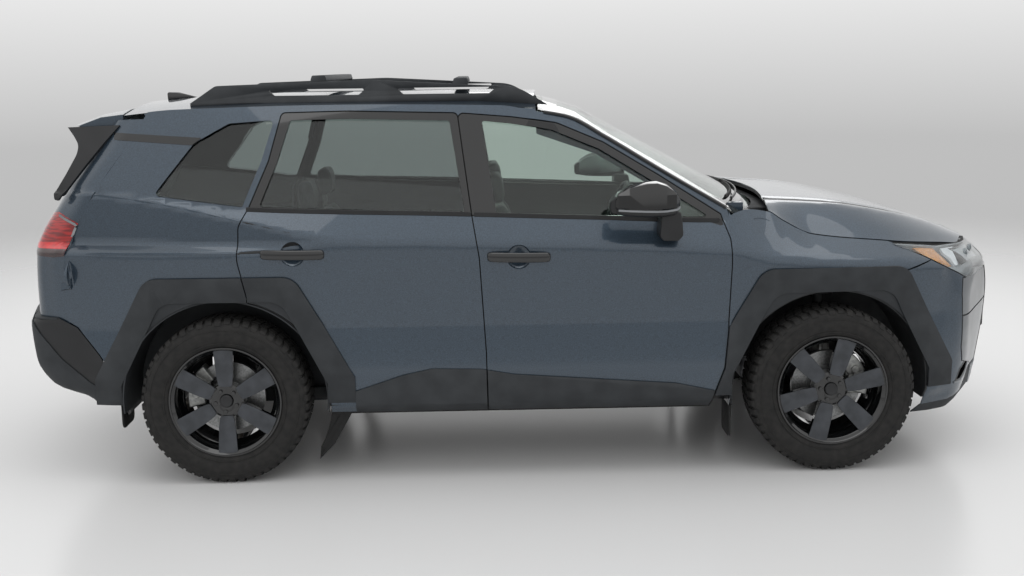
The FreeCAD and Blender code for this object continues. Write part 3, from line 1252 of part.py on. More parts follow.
# Roof rack: two rails with long slots, and two cross bars

rail_outline = [(rear_axle - 150, 1500), (rear_axle - 150, 1664), (rear_axle - 36, size.rail_height - 19, 40),
                (rear_axle + 645, size.rail_height, 600), (front_axle - 1379, size.rail_height - 39, 200),
                (front_axle - 1149, 1583, 20), (front_axle - 1149, 1500)]


def rail_slot(rear, front):
    return side_slab([(rear, size.rail_height - 38, 6), (rear + 30, size.rail_height - 66, 10),
                      (front - 34, size.rail_height - 66, 10), (front, size.rail_height - 38, 6)], LEFT)


roof_tool = Part.makeLoft([roof_fill(x) for x in house_stations], True, True)
rail = side_slab(rail_outline, LEFT, size.rail_y - size.rail_width / 2, size.rail_y + size.rail_width / 2)
rail = rail.cut(rail_slot(rear_axle + 192, rear_axle + 634)).cut(rail_slot(mid_shut - 361, mid_shut + 90))
rail = rail.cut(roof_tool)
bars = []
for x, below in ((rear_axle + 424, 8), (mid_shut - 73, 27)):
    low, half = size.rail_height - below, size.bar_depth / 2
    bars.append(slab([(x - half, low, 8), (x + half, low, 8), (x + half - 10, low + size.bar_height, 8),
                      (x - half + 10, low + size.bar_height, 8)],
                     side_plane, -size.bar_length / 2, size.bar_length / 2))
shapes["roof_rack"] = fused([rail, mirrored(rail)] + bars)
fin_profile = [(rear_axle - 385, 1600), (rear_axle - 390, 1706, 10), (rear_axle - 330, 1704, 30),
               (rear_axle - 215, 1672), (rear_axle - 215, 1600)]
shapes["roof_fin"] = slab(fin_profile, side_plane, -22, 22).cut(roof_tool)

# Flares on the wings and quarter panels, and mud flaps

front_ring = side_slab(arch_outline(front_axle, size.flare_width), LEFT).cut(
    side_slab(arch_outline(front_axle, -2), LEFT))
front_flare = flare_shell.common(front_ring).cut(box(front_axle - 700, front_axle + 700, 0, 1300, 0,
                                                     sill + 60))
front_flare = front_flare.cut(front_door_gap)
quarter_flare = rear_flare.cut(rear_door_gap).cut(rear_bumper)
shapes["arch_flares"] = Part.makeCompound([front_flare, mirrored(front_flare), quarter_flare,
                                           mirrored(quarter_flare)])


def mud_flap(x, low, high):
    return slab([(700, low, 30), (872, low, 30), (872, high), (700, high)], front_plane, x, x + 8)


front_flap = mud_flap(front_axle - size.arch_radius + 1, 150, sill - fit)
rear_flap = mud_flap(rear_axle - size.arch_radius - 12, 246, 440)
rear_flap = rear_flap.cut(rear_bumper).cut(side_body).cut(quarter_flare)
rear_flap = max(rear_flap.Solids, key=lambda piece: piece.Volume)
flaps = [front_flap, rear_flap]
shapes["mud_flaps"] = Part.makeCompound(flaps + [mirrored(flap) for flap in flaps])

# Door mirrors, folded back along the windows

mirror_at = front_axle - 840
mirror_plan = [(mirror_at - 149, 945, 12), (mirror_at - 135, 1030, 40), (mirror_at, 1056, 200),
               (mirror_at + 100, 1050, 60), (mirror_at + 135, 1000, 50), (mirror_at + 135, 930, 30),
               (mirror_at - 120, 930, 20)]
mirror_side = [(mirror_at - 149, belt + 60, 14), (mirror_at - 149, belt + 110, 20),
               (mirror_at - 115, belt + 156, 30), (mirror_at - 12, belt + 191, 120),
               (mirror_at + 65, belt + 186, 60), (mirror_at + 129, belt + 132, 30),
               (mirror_at + 129, belt + 74, 20), (mirror_at + 85, belt + 46, 30),
               (mirror_at - 105, belt + 44, 20)]
mirror_shell = slab(mirror_plan, plan_plane, belt, belt + 220).common(side_slab(mirror_side, LEFT))
mirror_foot = slab([(mirror_at + 52, belt - 43, 20), (mirror_at + 52, belt + 70), (mirror_at + 128, belt + 70),
                    (mirror_at + 153, belt - 45, 20), (mirror_at + 132, belt - 68, 16),
                    (mirror_at + 79, belt - 68, 16)], side_plane, 850, 985)
mirror = fused([mirror_shell, mirror_foot]).cut(front_door)
mirror = max(mirror.Solids, key=lambda piece: piece.Volume)
shapes["mirror_left"] = mirror
shapes["mirror_right"] = mirrored(mirror)
shapes["exhaust"] = fused(exhaust)

# Everything becomes an object of the document

features = []
for name, shape in shapes.items():
    feature = document.addObject("Part::Feature", name)
    feature.Label = name
    feature.Shape = shape
    feature.Placement = Placement()
    features.append(feature)

engine.Label = "engine_block"
for axis, words in (("Length", "sizes.engine_length"), ("Width", "sizes.engine_width"),
                    ("Height", "sizes.engine_height")):
    engine.setExpression(axis, words)
engine.Placement = Placement(Vector(front_axle - 300, -engine_half, size.engine_foot), Rotation())
features.append(engine)

SPOKE_TURN = {"front_left": 15, "front_right": -15, "rear_left": 0, "rear_right": 0}
for end, axle in (("front", front_axle), ("rear", rear_axle)):
    for name, side in SIDES:
        corner = end + "_" + name
        facing = Rotation(Vector(0, 0, 1), 0 if side == LEFT else 180)
        place = Placement(Vector(axle, side * size.half_track, hub_height), facing)
        tyre = tyre_body("tyre_" + corner)
        rim = rim_body("rim_" + corner)
        document.recompute()
        tyre.Placement = place
        rim.Placement = place * Placement(Vector(), Rotation(Vector(0, 1, 0), SPOKE_TURN[corner]))
        features += [tyre, rim]
document.recompute()

faults = [f.Name for f in document.Objects if "Invalid" in f.State or "Error" in f.State]
for feature in features:
    if feature.Shape.isNull() or not feature.Shape.isValid():
        faults.append(feature.Label)
if faults:
    raise RuntimeError("faulty parts: " + ", ".join(faults))
os.makedirs("parts", exist_ok=True)
for feature in features:
    feature.Shape.exportStep("parts/%s.step" % feature.Label)
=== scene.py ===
import math
import bmesh
import bpy
import numpy as np
from mathutils import Matrix, Vector
from mathutils.geometry import delaunay_2d_cdt


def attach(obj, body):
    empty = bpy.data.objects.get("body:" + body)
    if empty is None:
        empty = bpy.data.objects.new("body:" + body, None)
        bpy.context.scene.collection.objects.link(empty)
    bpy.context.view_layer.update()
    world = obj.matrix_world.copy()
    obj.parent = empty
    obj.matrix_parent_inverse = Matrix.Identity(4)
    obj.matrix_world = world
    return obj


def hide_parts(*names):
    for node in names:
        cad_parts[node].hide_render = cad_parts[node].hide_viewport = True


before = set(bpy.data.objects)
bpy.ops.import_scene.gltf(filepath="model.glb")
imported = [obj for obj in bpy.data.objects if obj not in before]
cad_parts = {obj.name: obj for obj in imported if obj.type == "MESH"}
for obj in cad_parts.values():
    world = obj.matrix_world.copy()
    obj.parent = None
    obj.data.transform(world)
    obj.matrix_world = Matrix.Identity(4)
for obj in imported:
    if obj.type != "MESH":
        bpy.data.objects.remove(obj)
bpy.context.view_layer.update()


# Five-door off-road estate car. Lengths below are millimetres unless a name says otherwise.
# +X points forward, +Y to the car's left, +Z up; the origin is on the ground below the middle.
# Shapes are measured from both ends, both axles, the shut line between the doors, the foot of the
# glass, the shoulder and the sill. SHUT is the gap round a door, SINK how far CAD lies below a skin.

MM = 0.001
NOSE, TAIL = 2300, -2300
FRONT_AXLE, REAR_AXLE = 1375, -1315
MID_SHUT = FRONT_AXLE - 1560
BELT, SHOULDER, HALF_WIDTH, SILL = 1130, 1000, 927, 300
HUB_HEIGHT, HALF_TRACK = 369.5, 810
ARCH_RADIUS = 455
SHUT = 5
SINK = 3
PLAIN_TRIM = "#1c1d1f"
SIDES = (("left", 1), ("right", -1))


# Materials

def linear(text):
    """Linear colour from an sRGB hex value."""
    channels = [int(text[i:i + 2], 16) / 255 for i in (1, 3, 5)]
    return [c / 12.92 if c <= 0.04045 else ((c + 0.055) / 1.055) ** 2.4 for c in channels] + [1.0]


def add(tree, kind, sockets=None, **settings):
    """Add a node; a socket's value is a constant or another node's output to link."""
    node = tree.nodes.new("ShaderNode" + kind)
    for name, value in settings.items():
        setattr(node, name, value)
    for socket, value in (sockets or {}).items():
        if isinstance(value, bpy.types.NodeSocket):
            tree.links.new(value, node.inputs[socket])
        else:
            node.inputs[socket].default_value = value
    return node


def finish(name, colour, roughness, **sockets):
    """Principled material with its constants on the shader's own sockets."""
    material = bpy.data.materials.new(name)
    material.use_nodes = True
    shader = material.node_tree.nodes["Principled BSDF"]
    shader.inputs["Base Color"].default_value = linear(colour)
    shader.inputs["Roughness"].default_value = roughness
    for socket, value in sockets.items():
        shader.inputs[socket.replace("_", " ")].default_value = value
    return material


def mottled(material, grain_mm, light, dark, low=0.35, high=0.65, detail=2.0, stretch=(1, 1, 1)):
    """Colour that drifts between two shades in patches of a real size."""
    tree = material.node_tree
    place = add(tree, "TexCoord").outputs["Object"]
    place = add(tree, "Mapping", {"Vector": place, "Scale": stretch}).outputs["Vector"]
    cloud = add(tree, "TexNoise", {"Vector": place, "Scale": 1 / (grain_mm * MM), "Detail": detail})
    ramp = add(tree, "ValToRGB", {"Fac": cloud.outputs["Fac"]})
    for stop, at, shade in zip(ramp.color_ramp.elements, (low, high), (dark, light)):
        stop.position, stop.color = at, linear(shade)
    tree.links.new(ramp.outputs["Color"], tree.nodes["Principled BSDF"].inputs["Base Color"])
    return material


def grained(material, grain_mm, height_mm, strength, cells=False):
    """Moulded or cast grain of a real width and height, as a bump."""
    tree = material.node_tree
    place = add(tree, "TexCoord").outputs["Object"]
    place = add(tree, "Mapping", {"Vector": place, "Scale": (1, 1, 1)}).outputs["Vector"]
    sockets = {"Vector": place, "Scale": 1 / (grain_mm * MM)}
    if cells:
        texture = add(tree, "TexVoronoi", sockets).outputs["Distance"]
    else:
        texture = add(tree, "TexNoise", {**sockets, "Detail": 3.0}).outputs["Fac"]
    bump = add(tree, "Bump", {"Height": texture, "Strength": strength, "Distance": height_mm * MM})
    tree.links.new(bump.outputs["Normal"], tree.nodes["Principled BSDF"].inputs["Normal"])
    return material


def made_of(name, colour, roughness, patches, grain=(), cells=False, **sockets):
    """Material that drifts between two shades in patches, with or without a grain."""
    material = mottled(finish(name, colour, roughness, **sockets), *patches)
    return grained(material, *grain, cells=cells) if grain else material


# Metallic basecoat under clear lacquer, sprayed: deep gloss over fine flakes; the 0.1 mm flakes are
# drawn 4 mm wide so that they just show
paint = made_of("metallic_paint_lacquered", "#2f3c48", 0.34, (4, "#3b4a58", "#2a3641", 0.3, 0.7),
                Metallic=0.55, Coat_Weight=1.0, Coat_Roughness=0.03)
# Polypropylene, moulded with a spark grain: dull, slightly pale where the light grazes the grain
cladding = made_of("polypropylene_moulded_grained", "#282b2e", 0.62, (90, "#2f3235", "#25282b"),
                   (4, 0.06, 0.5), cells=True, Specular_IOR_Level=0.42)
# ABS, moulded and polished: near-black mirror gloss
gloss_black = made_of("abs_gloss_black", "#0b0c0d", 0.08, (300, "#0e0f10", "#08090a"), Coat_Weight=0.6,
                      Coat_Roughness=0.02)
# ABS, moulded satin: dark trim with a soft sheen
satin_black = made_of("abs_moulded_satin", "#17181a", 0.42, (120, "#1b1c1e", "#131416"), (2, 0.1, 0.4))
# EPDM rubber, extruded: matte seal black
seal_rubber = made_of("epdm_rubber_extruded", "#121212", 0.78, (40, "#161616", "#0e0e0e"), (1.5, 0.1, 0.5))
# Tyre rubber, cured in a mould: warm grey-black with a trace of dust in the low places
tyre_rubber = made_of("tyre_rubber_moulded", "#232323", 0.82, (30, "#2a2928", "#1c1c1c", 0.3, 0.7, 4.0),
                      (2, 0.2, 0.5), Specular_IOR_Level=0.35)
# Cast aluminium under satin powder coat: even dark grey, soft highlights
wheel_coat = made_of("aluminium_cast_powder_coated", "#3b3e42", 0.4, (60, "#42454a", "#34373b"),
                     (1.2, 0.05, 0.3), Metallic=0.5, Coat_Weight=0.25, Coat_Roughness=0.25)
# Cast iron, turned: fine concentric marks and a bright swept band
disc_iron = made_of("cast_iron_turned", "#8b8c8c", 0.34, (9, "#999a9a", "#777878", 0.3, 0.7), Metallic=0.9)
# Ductile iron, zinc plated: pale satin silver
caliper_iron = made_of("ductile_iron_zinc_plated", "#9c9d9b", 0.42, (15, "#a8a9a6", "#8a8b8a"),
                       (1.5, 0.15, 0.5), Metallic=0.75)
# Mild steel, pressed and dipped in black primer: dull underbody
primer_steel = made_of("mild_steel_primed", "#26282a", 0.6, (70, "#2d2f31", "#1f2022"), (3, 0.1, 0.4),
                       Metallic=0.2)
# Stainless steel, rolled and welded: warm grey with heat-tinted drift
exhaust_steel = made_of("stainless_steel_rolled", "#8a847c", 0.36, (80, "#938d85", "#6f6a64"), Metallic=1.0)
# Cast aluminium, sand cast: engine block
cast_aluminium = made_of("aluminium_sand_cast", "#7d7e80", 0.5, (20, "#86878a", "#6c6d70"), (2, 0.3, 0.6),
                         Metallic=0.8)
# Anodised aluminium look on moulded ABS: satin silver guard and trims
silver_trim = made_of("abs_satin_silver", "#8c8f92", 0.38, (150, "#94979a", "#838689"), (1.5, 0.05, 0.3),
                      Metallic=0.55)
# Vacuum-metallised polycarbonate: lamp reflectors
bright_reflector = made_of("polycarbonate_metallised", "#d3d6d9", 0.12, (40, "#dcdfe2", "#c6c9cc"),
                           Metallic=1.0)
# Polyester knit laminated on foam, woven look: charcoal seat cloth
seat_cloth = made_of("polyester_woven", "#2a2b2e", 0.85, (9, "#313236", "#242528", 0.35, 0.65, 3.0),
                     (3, 0.06, 0.3), Sheen_Weight=0.3)
# PVC leathercloth, embossed: seat borders and head rests
leathercloth = made_of("pvc_leathercloth_embossed", "#1f2022", 0.52, (50, "#242528", "#1a1b1d"),
                       (3, 0.05, 0.3))
# Soft-touch polypropylene, moulded: cabin trim
cabin_trim = made_of("polypropylene_soft_grained", "#1c1d1f", 0.68, (100, "#202123", "#18191a"),
                     (3, 0.03, 0.25))
# Polycarbonate, moulded in one colour: amber marker lens
amber_lens = made_of("polycarbonate_amber", "#c9801c", 0.15, (20, "#d28a24", "#b97214"), Coat_Weight=0.5)
# PMMA, moulded in red and ribbed behind: tail lamp lens
red_lens = made_of("pmma_red_moulded", "#8a1414", 0.14,
                   (26, "#a31c1a", "#6d0d10", 0.4, 0.6, 1.0, (0.3, 1, 4)), Coat_Weight=1.0,
                   Coat_Roughness=0.03)
# PMMA over a light guide: the lamp's bright band
bright_red = made_of("pmma_red_light_guide", "#c4171b", 0.12, (30, "#d0201f", "#a81317"), Coat_Weight=1.0,
                     Coat_Roughness=0.03)
# PMMA, smoked: dark edge of the tail lamp
smoked_lens = made_of("pmma_smoked", "#2a0c0e", 0.12, (30, "#341012", "#20080a"), Coat_Weight=1.0,
                      Coat_Roughness=0.03)
# Embossed aluminium sheet, white film: blank number plate
blank_plate = made_of("aluminium_plate_white_film", "#c9cacb", 0.35, (60, "#cecfd0", "#c2c3c4"),
                      (2, 0.05, 0.3))


def glass(name, tint, shade, roughness=0.0):
    """Clear sheet that tints what is seen through it and lets the light in."""
    material = finish(name, tint, roughness, Transmission_Weight=1.0, IOR=1.45)
    tree = material.node_tree
    shader = tree.nodes["Principled BSDF"]
    light_in = add(tree, "BsdfTransparent", {"Color": linear(shade)})
    shadow = add(tree, "LightPath").outputs["Is Shadow Ray"]
    mix = add(tree, "MixShader", {0: shadow, 1: shader.outputs[0], 2: light_in.outputs[0]})
    tree.links.new(mix.outputs[0], tree.nodes["Material Output"].inputs["Surface"])
    return material


# ABS, painted dark silver: side pieces of the grille
dark_silver = made_of("abs_painted_dark_silver", "#6d7073", 0.34, (120, "#75787b", "#64676a"), Metallic=0.5,
                      Coat_Weight=0.6, Coat_Roughness=0.05)
# Polycarbonate, frosted white: light guides of the headlamp
light_guide = made_of("polycarbonate_frosted_white", "#e4e7e9", 0.3, (60, "#eceef0", "#d8dbdd"))
# Polypropylene, satin silver: headlamp housing
lamp_housing = made_of("polypropylene_satin_silver", "#a9adb0", 0.4, (60, "#b3b7ba", "#9a9ea1"),
                       Metallic=0.4)
# Toughened soda-lime glass, floated with a green tint: front windows and windscreen
clear_glass = glass("soda_lime_glass_green", "#dce8e2", "#c6d4cc")
# Toughened glass, tinted in the mass: rear windows
privacy_glass = glass("soda_lime_glass_dark", "#b4bdbb", "#b0b7b5")
# Polycarbonate, hard coated: headlamp lens
lamp_glass = glass("polycarbonate_clear", "#eef1f2", "#e4e8ea")


# Mesh helpers

# The slot each material fills unless a piece names another
SLOTS = {"body_paint": (paint,), "gloss_black": (gloss_black, satin_black, seal_rubber),
         "cladding": (cladding,), "silver_trim": (silver_trim, dark_silver, bright_reflector),
         "tyre_rubber": (tyre_rubber,), "wheel_alloy": (wheel_coat, disc_iron),
         "cast_steel": (caliper_iron,), "cabin_plastic": (cabin_trim,),
         "lamp_red": (red_lens, bright_red, smoked_lens), "seat_fabric": (seat_cloth, leathercloth),
         "lamp_clear": (lamp_glass, lamp_housing, amber_lens, light_guide)}
SLOT_OF = {material.name: slot for slot, materials in SLOTS.items() for material in materials}
WELD_METRES = 0.00002
# Offset at which a surface is probed for its direction, and the height of the middle it faces away from
PROBE, CORE_HEIGHT = 2, 800


def welded(mesh, distance):
    """Merge points closer than a distance in metres and turn the faces outwards."""
    form = bmesh.new()
    form.from_mesh(mesh)
    bmesh.ops.remove_doubles(form, verts=form.verts, dist=distance)
    bmesh.ops.recalc_face_normals(form, faces=form.faces)
    form.to_mesh(mesh)
    form.free()


def piece(name, points, faces, material, body, slot=None, smooth=35):
    """Mesh object from millimetre points, shaded smooth below an edge angle, riding on a body."""
    mesh = bpy.data.meshes.new(name)
    mesh.from_pydata([tuple(c * MM for c in p) for p in points], [], [tuple(f) for f in faces])
    mesh.validate()
    welded(mesh, WELD_METRES)
    return place(name, mesh, material, body, slot, smooth)


def place(name, mesh, material, body, slot=None, smooth=35):
    """Put a finished mesh in the scene on a body, with its material."""
    slot = slot or SLOT_OF.get(material.name)
    mesh.shade_smooth()
    mesh.set_sharp_from_angle(angle=math.radians(smooth))
    obj = bpy.data.objects.new(name, mesh)
    bpy.context.scene.collection.objects.link(obj)
    mesh.materials.append(material)
    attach(obj, body)
    return obj


def soften(obj, width, segments=2, angle=30):
    """Round the edges of a piece by a small radius."""
    bevel = obj.modifiers.new("rounded_edges", "BEVEL")
    bevel.width = width * MM
    bevel.segments = segments
    bevel.limit_method = "ANGLE"
    bevel.angle_limit = math.radians(angle)
    bevel.harden_normals = True
    bevel.use_clamp_overlap = True
    return obj


def offset(x, z, points):
    """Points given as offsets from a station and a height; a third value is a corner's radius."""
    return [(x + point[0], z + point[1], *point[2:]) for point in points]


def band(size, a, b):
    """Quads between two closed rings of points that start at the indices a and b."""
    return [[a + j, a + (j + 1) % size, b + (j + 1) % size, b + j] for j in range(size)]


def outward(surface, a, b):
    """Point of a surface and the way it faces, away from the middle of the car."""
    here = Vector(surface(a, b))
    along = Vector(surface(a + PROBE, b)) - Vector(surface(a - PROBE, b))
    across = Vector(surface(a, b + PROBE)) - Vector(surface(a, b - PROBE))
    way = along.cross(across).normalized()
    if way.dot(Vector((here.x * 0.5, here.y, here.z - CORE_HEIGHT))) < 0:
        way = -way
    return here, way


def line_through(points):
    """Smooth function through (place, value) pairs, without overshoot."""
    points = sorted(points)
    places = [p[0] for p in points]
    values = [p[1] for p in points]
    steps = [(values[i + 1] - values[i]) / (places[i + 1] - places[i]) for i in range(len(points) - 1)]
    slopes = [steps[0]]
    for before, after in zip(steps, steps[1:]):
        slopes.append(0.0 if before * after <= 0 else 2 * before * after / (before + after))
    slopes.append(steps[-1])

    def value_at(where):
        where = min(max(where, places[0]), places[-1])
        i = max(n for n in range(len(places) - 1) if places[n] <= where or n == 0)
        span = places[i + 1] - places[i]
        u = (where - places[i]) / span
        rest = 1 - u
        return (values[i] * rest * rest * (1 + 2 * u) + slopes[i] * span * u * rest * rest
                + values[i + 1] * u * u * (3 - 2 * u) - slopes[i + 1] * span * u * u * rest)
    return value_at


def rounded(points, step=14):
    """Closed outline sampled evenly, from (a, b) corners or (a, b, radius) rounded ones."""
    path = []
    count = len(points)
    for i, corner in enumerate(points):
        here = Vector(corner[:2])
        back = Vector(points[i - 1][:2]) - here
        ahead = Vector(points[(i + 1) % count][:2]) - here
        radius = corner[2] if len(corner) > 2 else 0
        if not radius:
            path.append(here)
            continue
        half = back.angle(ahead) / 2
        reach = min(radius / math.tan(half), 0.48 * back.length, 0.48 * ahead.length)
        radius = reach * math.tan(half)
        centre = here + (back.normalized() + ahead.normalized()).normalized() * (radius / math.sin(half))
        first = here + back.normalized() * reach - centre
        last = here + ahead.normalized() * reach - centre
        turn = first.angle_signed(last)
        pieces = max(3, int(abs(turn) * radius / 6) + 1) if abs(turn) > 0.12 else 2
        for k in range(pieces + 1):
            path.append(centre + Matrix.Rotation(-turn * k / pieces, 2) @ first)
    even = []
    for a, b in zip(path, path[1:] + path[:1]):
        parts = max(1, int((b - a).length / step))
        even += [a + (b - a) * (k / parts) for k in range(parts)]
    return [(p.x, p.y) for p in even]


def within(points, loop):
    """Which of many points lie within a closed outline."""
    spots, corners = np.asarray(points, float), np.asarray(loop, float)
    odd = np.zeros(len(spots), bool)
    for (x0, y0), (x1, y1) in zip(corners, np.roll(corners, -1, axis=0)):
        if y0 != y1:
            level = (y0 > spots[:, 1]) != (y1 > spots[:, 1])
            odd ^= level & (spots[:, 0] < (x1 - x0) * (spots[:, 1] - y0) / (y1 - y0) + x0)
    return odd


def kept(points, inner, holes):
    """Which points lie within every inner outline and outside every hole."""
    mask = np.ones(len(points), bool)
    for loop in inner:
        mask &= within(points, loop)
    for loop in holes:
        mask &= ~within(points, loop)
    return mask


def skin(name, surface, inner, holes, material, sign=1, step=20, depth=3.2, smooth=60, body="body",
         slot=None):
    """Sheet on a surface given as surface(a, b) -> point, kept inside some outlines and out of others."""
    points, edges = [], []
    for loop in list(inner) + list(holes):
        start = len(points)
        points += loop
        edges += [(start + i, start + (i + 1) % len(loop)) for i in range(len(loop))]
    low, high = np.min(inner[0], axis=0), np.max(inner[0], axis=0)
    near = {(round(a / step * 1.6), round(b / step * 1.6)) for a, b in points}
    columns, rows = (int((high[i] - low[i]) / step) + 1 for i in (0, 1))
    grid = [(low[0] + (i + 0.5 * (j % 2)) * step, low[1] + j * step) for i in range(columns)
            for j in range(rows)]
    grid = [p for p in grid if (round(p[0] / step * 1.6), round(p[1] / step * 1.6)) not in near]
    points += [p for p, use in zip(grid, kept(grid, inner, holes)) if use]
    flat = delaunay_2d_cdt([Vector(p) for p in points], edges, [], 0, 0.01)
    middles = [[sum(flat[0][i][n] for i in face) / len(face) for n in (0, 1)] for face in flat[2]]
    faces = [face for face, use in zip(flat[2], kept(middles, inner, holes)) if use]
    used = sorted({i for face in faces for i in face})
    place_of = {old: new for new, old in enumerate(used)}
    faces = [[place_of[i] for i in face] for face in faces]
    mirror = Vector((1, sign, 1))
    tops, ways = [], []
    for i in used:
        here, way = outward(surface, *flat[0][i])
        tops.append(here * mirror * MM)
        ways.append(way * mirror)
    count = len(tops)
    points = tops + [top - way * depth * MM for top, way in zip(tops, ways)]
    out = sum((tops[f[1]] - tops[f[0]]).cross(tops[f[2]] - tops[f[0]]).dot(ways[f[0]]) for f in faces)
    if out < 0:
        faces = [face[::-1] for face in faces]
    sides = {}
    for face in faces:
        for a, b in zip(face, face[1:] + face[:1]):
            if sides.pop((b, a), None) is None:
                sides[(a, b)] = True
    shell = faces + [[i + count for i in face[::-1]] for face in faces]
    shell += [[b, a, a + count, b + count] for a, b in sides]
    mesh = bpy.data.meshes.new(name)
    mesh.from_pydata(points, [], shell)
    obj = place(name, mesh, material, body, slot, smooth)
    normals = []
    for number, face in enumerate(mesh.polygons):
        for i in face.vertices:
            if number < len(faces):
                normals.append(ways[i])
            else:
                normals.append(-ways[i - count] if number < 2 * len(faces) else face.normal)
    mesh.normals_split_custom_set(normals)
    return obj


def prism(name, outline, to_point, low, high, material, bevel=1.5, smooth=35, segments=2, body="body",
          slot=None):
    """Closed outline given depth between two distances, with rounded edges."""
    count = len(outline)
    points = [to_point(a, b, low) for a, b in outline] + [to_point(a, b, high) for a, b in outline]
    faces = [list(range(count)), list(range(2 * count - 1, count - 1, -1))] + band(count, 0, count)
    obj = piece(name, points, faces, material, body, slot, smooth)
    return soften(obj, bevel, segments)


def loft(name, rings, material, smooth=40, bevel=0, segments=2, rounds=0, body="body", slot=None):
    """Closed rings of equal count joined in order and capped at both ends."""
    size = len(rings[0])
    points = [p for ring in rings for p in ring]
    faces = [list(range(size)), list(range(len(points) - 1, len(points) - size - 1, -1))]
    for k in range(len(rings) - 1):
        faces += band(size, k * size, (k + 1) * size)
    obj = piece(name, points, faces, material, body, slot, smooth)
    if rounds:
        form = obj.modifiers.new("rounded_form", "SUBSURF")
        form.levels = form.render_levels = rounds
    return soften(obj, bevel, segments) if bevel else obj


def sweep(name, path, section, material, up=(0, 0, 1), scales=None, body="body", slot=None):
    """Section of (sideways, upwards) points carried along an open path of millimetre points."""
    rings = []
    track = [Vector(p) for p in path]
    for i, here in enumerate(track):
        way = track[min(i + 1, len(track) - 1)] - track[max(i - 1, 0)]
        way.normalize()
        side = way.cross(Vector(up)).normalized()
        rise = side.cross(way)
        grow = scales[i] if scales else 1
        rings.append([tuple(here + side * a * grow + rise * b * grow) for a, b in section])
    return loft(name, rings, material, body=body, slot=slot)


def circle(radius, count=12):
    """Points (a, b) spaced evenly round a circle about the origin."""
    turns = [2 * math.pi * i / count for i in range(count)]
    return [(radius * math.cos(turn), radius * math.sin(turn)) for turn in turns]


# Body lines: each gives a height or a half width along the car

STATIONS = {"tail": TAIL, "rear": REAR_AXLE, "shut": MID_SHUT, "front": FRONT_AXLE, "nose": NOSE}


def body_line(datum, **offsets):
    """Smooth line through {offset from a station: offset from the datum} for each named station."""
    return line_through([(STATIONS[name] + along, datum + value) for name, places in offsets.items()
                         for along, value in places.items()])


belt_z = body_line(BELT, tail={150: 205}, rear={-300: 142, 110: 80}, shut={-130: 48, 500: 22},
                   front={-495: 0, -440: 30, -375: 42, -270: 26, -208: -13, -80: -74, 270: -112, 620: -148},
                   nose={-60: -190})
belt_y = body_line(HALF_WIDTH, tail={150: -187}, rear={-300: -112, 110: -78}, shut={0: -66},
                   front={-495: -80, -375: -135, -270: -167, -208: -158, -80: -142, 270: -150, 620: -290},
                   nose={-60: -420})
upper_z = body_line(SHOULDER, tail={150: 295}, rear={-590: 290, -270: 250, 90: 170, 545: 78}, shut={0: 62},
                    front={-465: 12, -270: -30, 0: -42, 350: -60}, nose={-60: -90})
upper_y = body_line(HALF_WIDTH, tail={150: -165}, rear={-300: -82, 90: -42, 545: -4},
                    front={-465: -4, 0: -22, 350: -62, 620: -150}, nose={-60: -330})
ledge_z = body_line(SHOULDER, tail={150: 76}, rear={-500: 72, 90: 64, 545: 68}, shut={0: 54},
                    front={-465: 4, -270: -38, 0: -52, 350: -70}, nose={-60: -100})
ledge_y = body_line(HALF_WIDTH, tail={150: -160}, rear={-300: -76, 90: -40, 545: -3},
                    front={-465: -2, 0: -20, 350: -60, 620: -148}, nose={-60: -328})
crease_z = body_line(SHOULDER, tail={150: 40}, rear={90: 32, 545: 54}, shut={0: 44},
                     front={-465: -6, -270: -52, 0: -66, 350: -84}, nose={-60: -114})
crease_y = body_line(HALF_WIDTH, tail={150: -140, 260: -82}, rear={-500: -34, -230: -10, 90: -2, 545: 0},
                     shut={0: 0}, front={-465: 0, 0: -12, 350: -50, 620: -138}, nose={-60: -318})
glass_top_z = body_line(0, rear={-480: 1612, -200: 1640, 500: 1652}, shut={100: 1640}, front={-1300: 1612})
glass_top_y = body_line(0, rear={-480: 648, 0: 676}, shut={0: 684}, front={-1300: 676, -500: 640})
# Waist below the shoulder, chin above the sill, and how far the glass bulges; creases round over RADIUS
WAIST, CHIN, BULGE, RADIUS = 300, 45, 12, 14
sections = {}


def side_section(x):
    """Outer points of the lower body side at one station, from the sill up to the glass."""
    key = round(x, 1)
    if key not in sections:
        cy = crease_y(x)
        sections[key] = [(cy - 56, SILL), (cy - 20, SILL + CHIN), (cy - 14, 500),
                         (cy - 30, SHOULDER - WAIST), (cy, crease_z(x)), (ledge_y(x), ledge_z(x)),
                         (upper_y(x), upper_z(x)), (belt_y(x), belt_z(x))]
    return sections[key]


def skin_y(x, z):
    """Half width of the painted side at a station and height."""
    section = side_section(x)
    for (y0, z0), (y1, z1) in zip(section, section[1:]):
        if z <= z1 or (y1, z1) == section[-1]:
            share = (z - z0) / (z1 - z0)
            return y0 + (y1 - y0) * (share if (y1, z1) == section[-1] else max(share, 0))


def soft_y(x, z):
    """The painted side with its creases rounded to a pressing's radius."""
    half = RADIUS // 2
    return (skin_y(x, z - RADIUS) + 2 * skin_y(x, z - half) + 3 * skin_y(x, z) + 2 * skin_y(x, z + half)
            + skin_y(x, z + RADIUS)) / 9


def house_y(x, z):
    """Half width of the glazed side at a station and height."""
    low_y, low_z = belt_y(x), belt_z(x) - 6
    top_y, top_z = glass_top_y(x), glass_top_z(x)
    share = (z - low_z) / (top_z - low_z)
    return low_y + (top_y - low_y) * share + 4 * BULGE * share * (1 - share)


def on_skin(x, z):
    """Point of the painted side."""
    return (x, soft_y(x, z), z)


def on_house(x, z):
    """Point of the glazed side."""
    return (x, house_y(x, z), z)


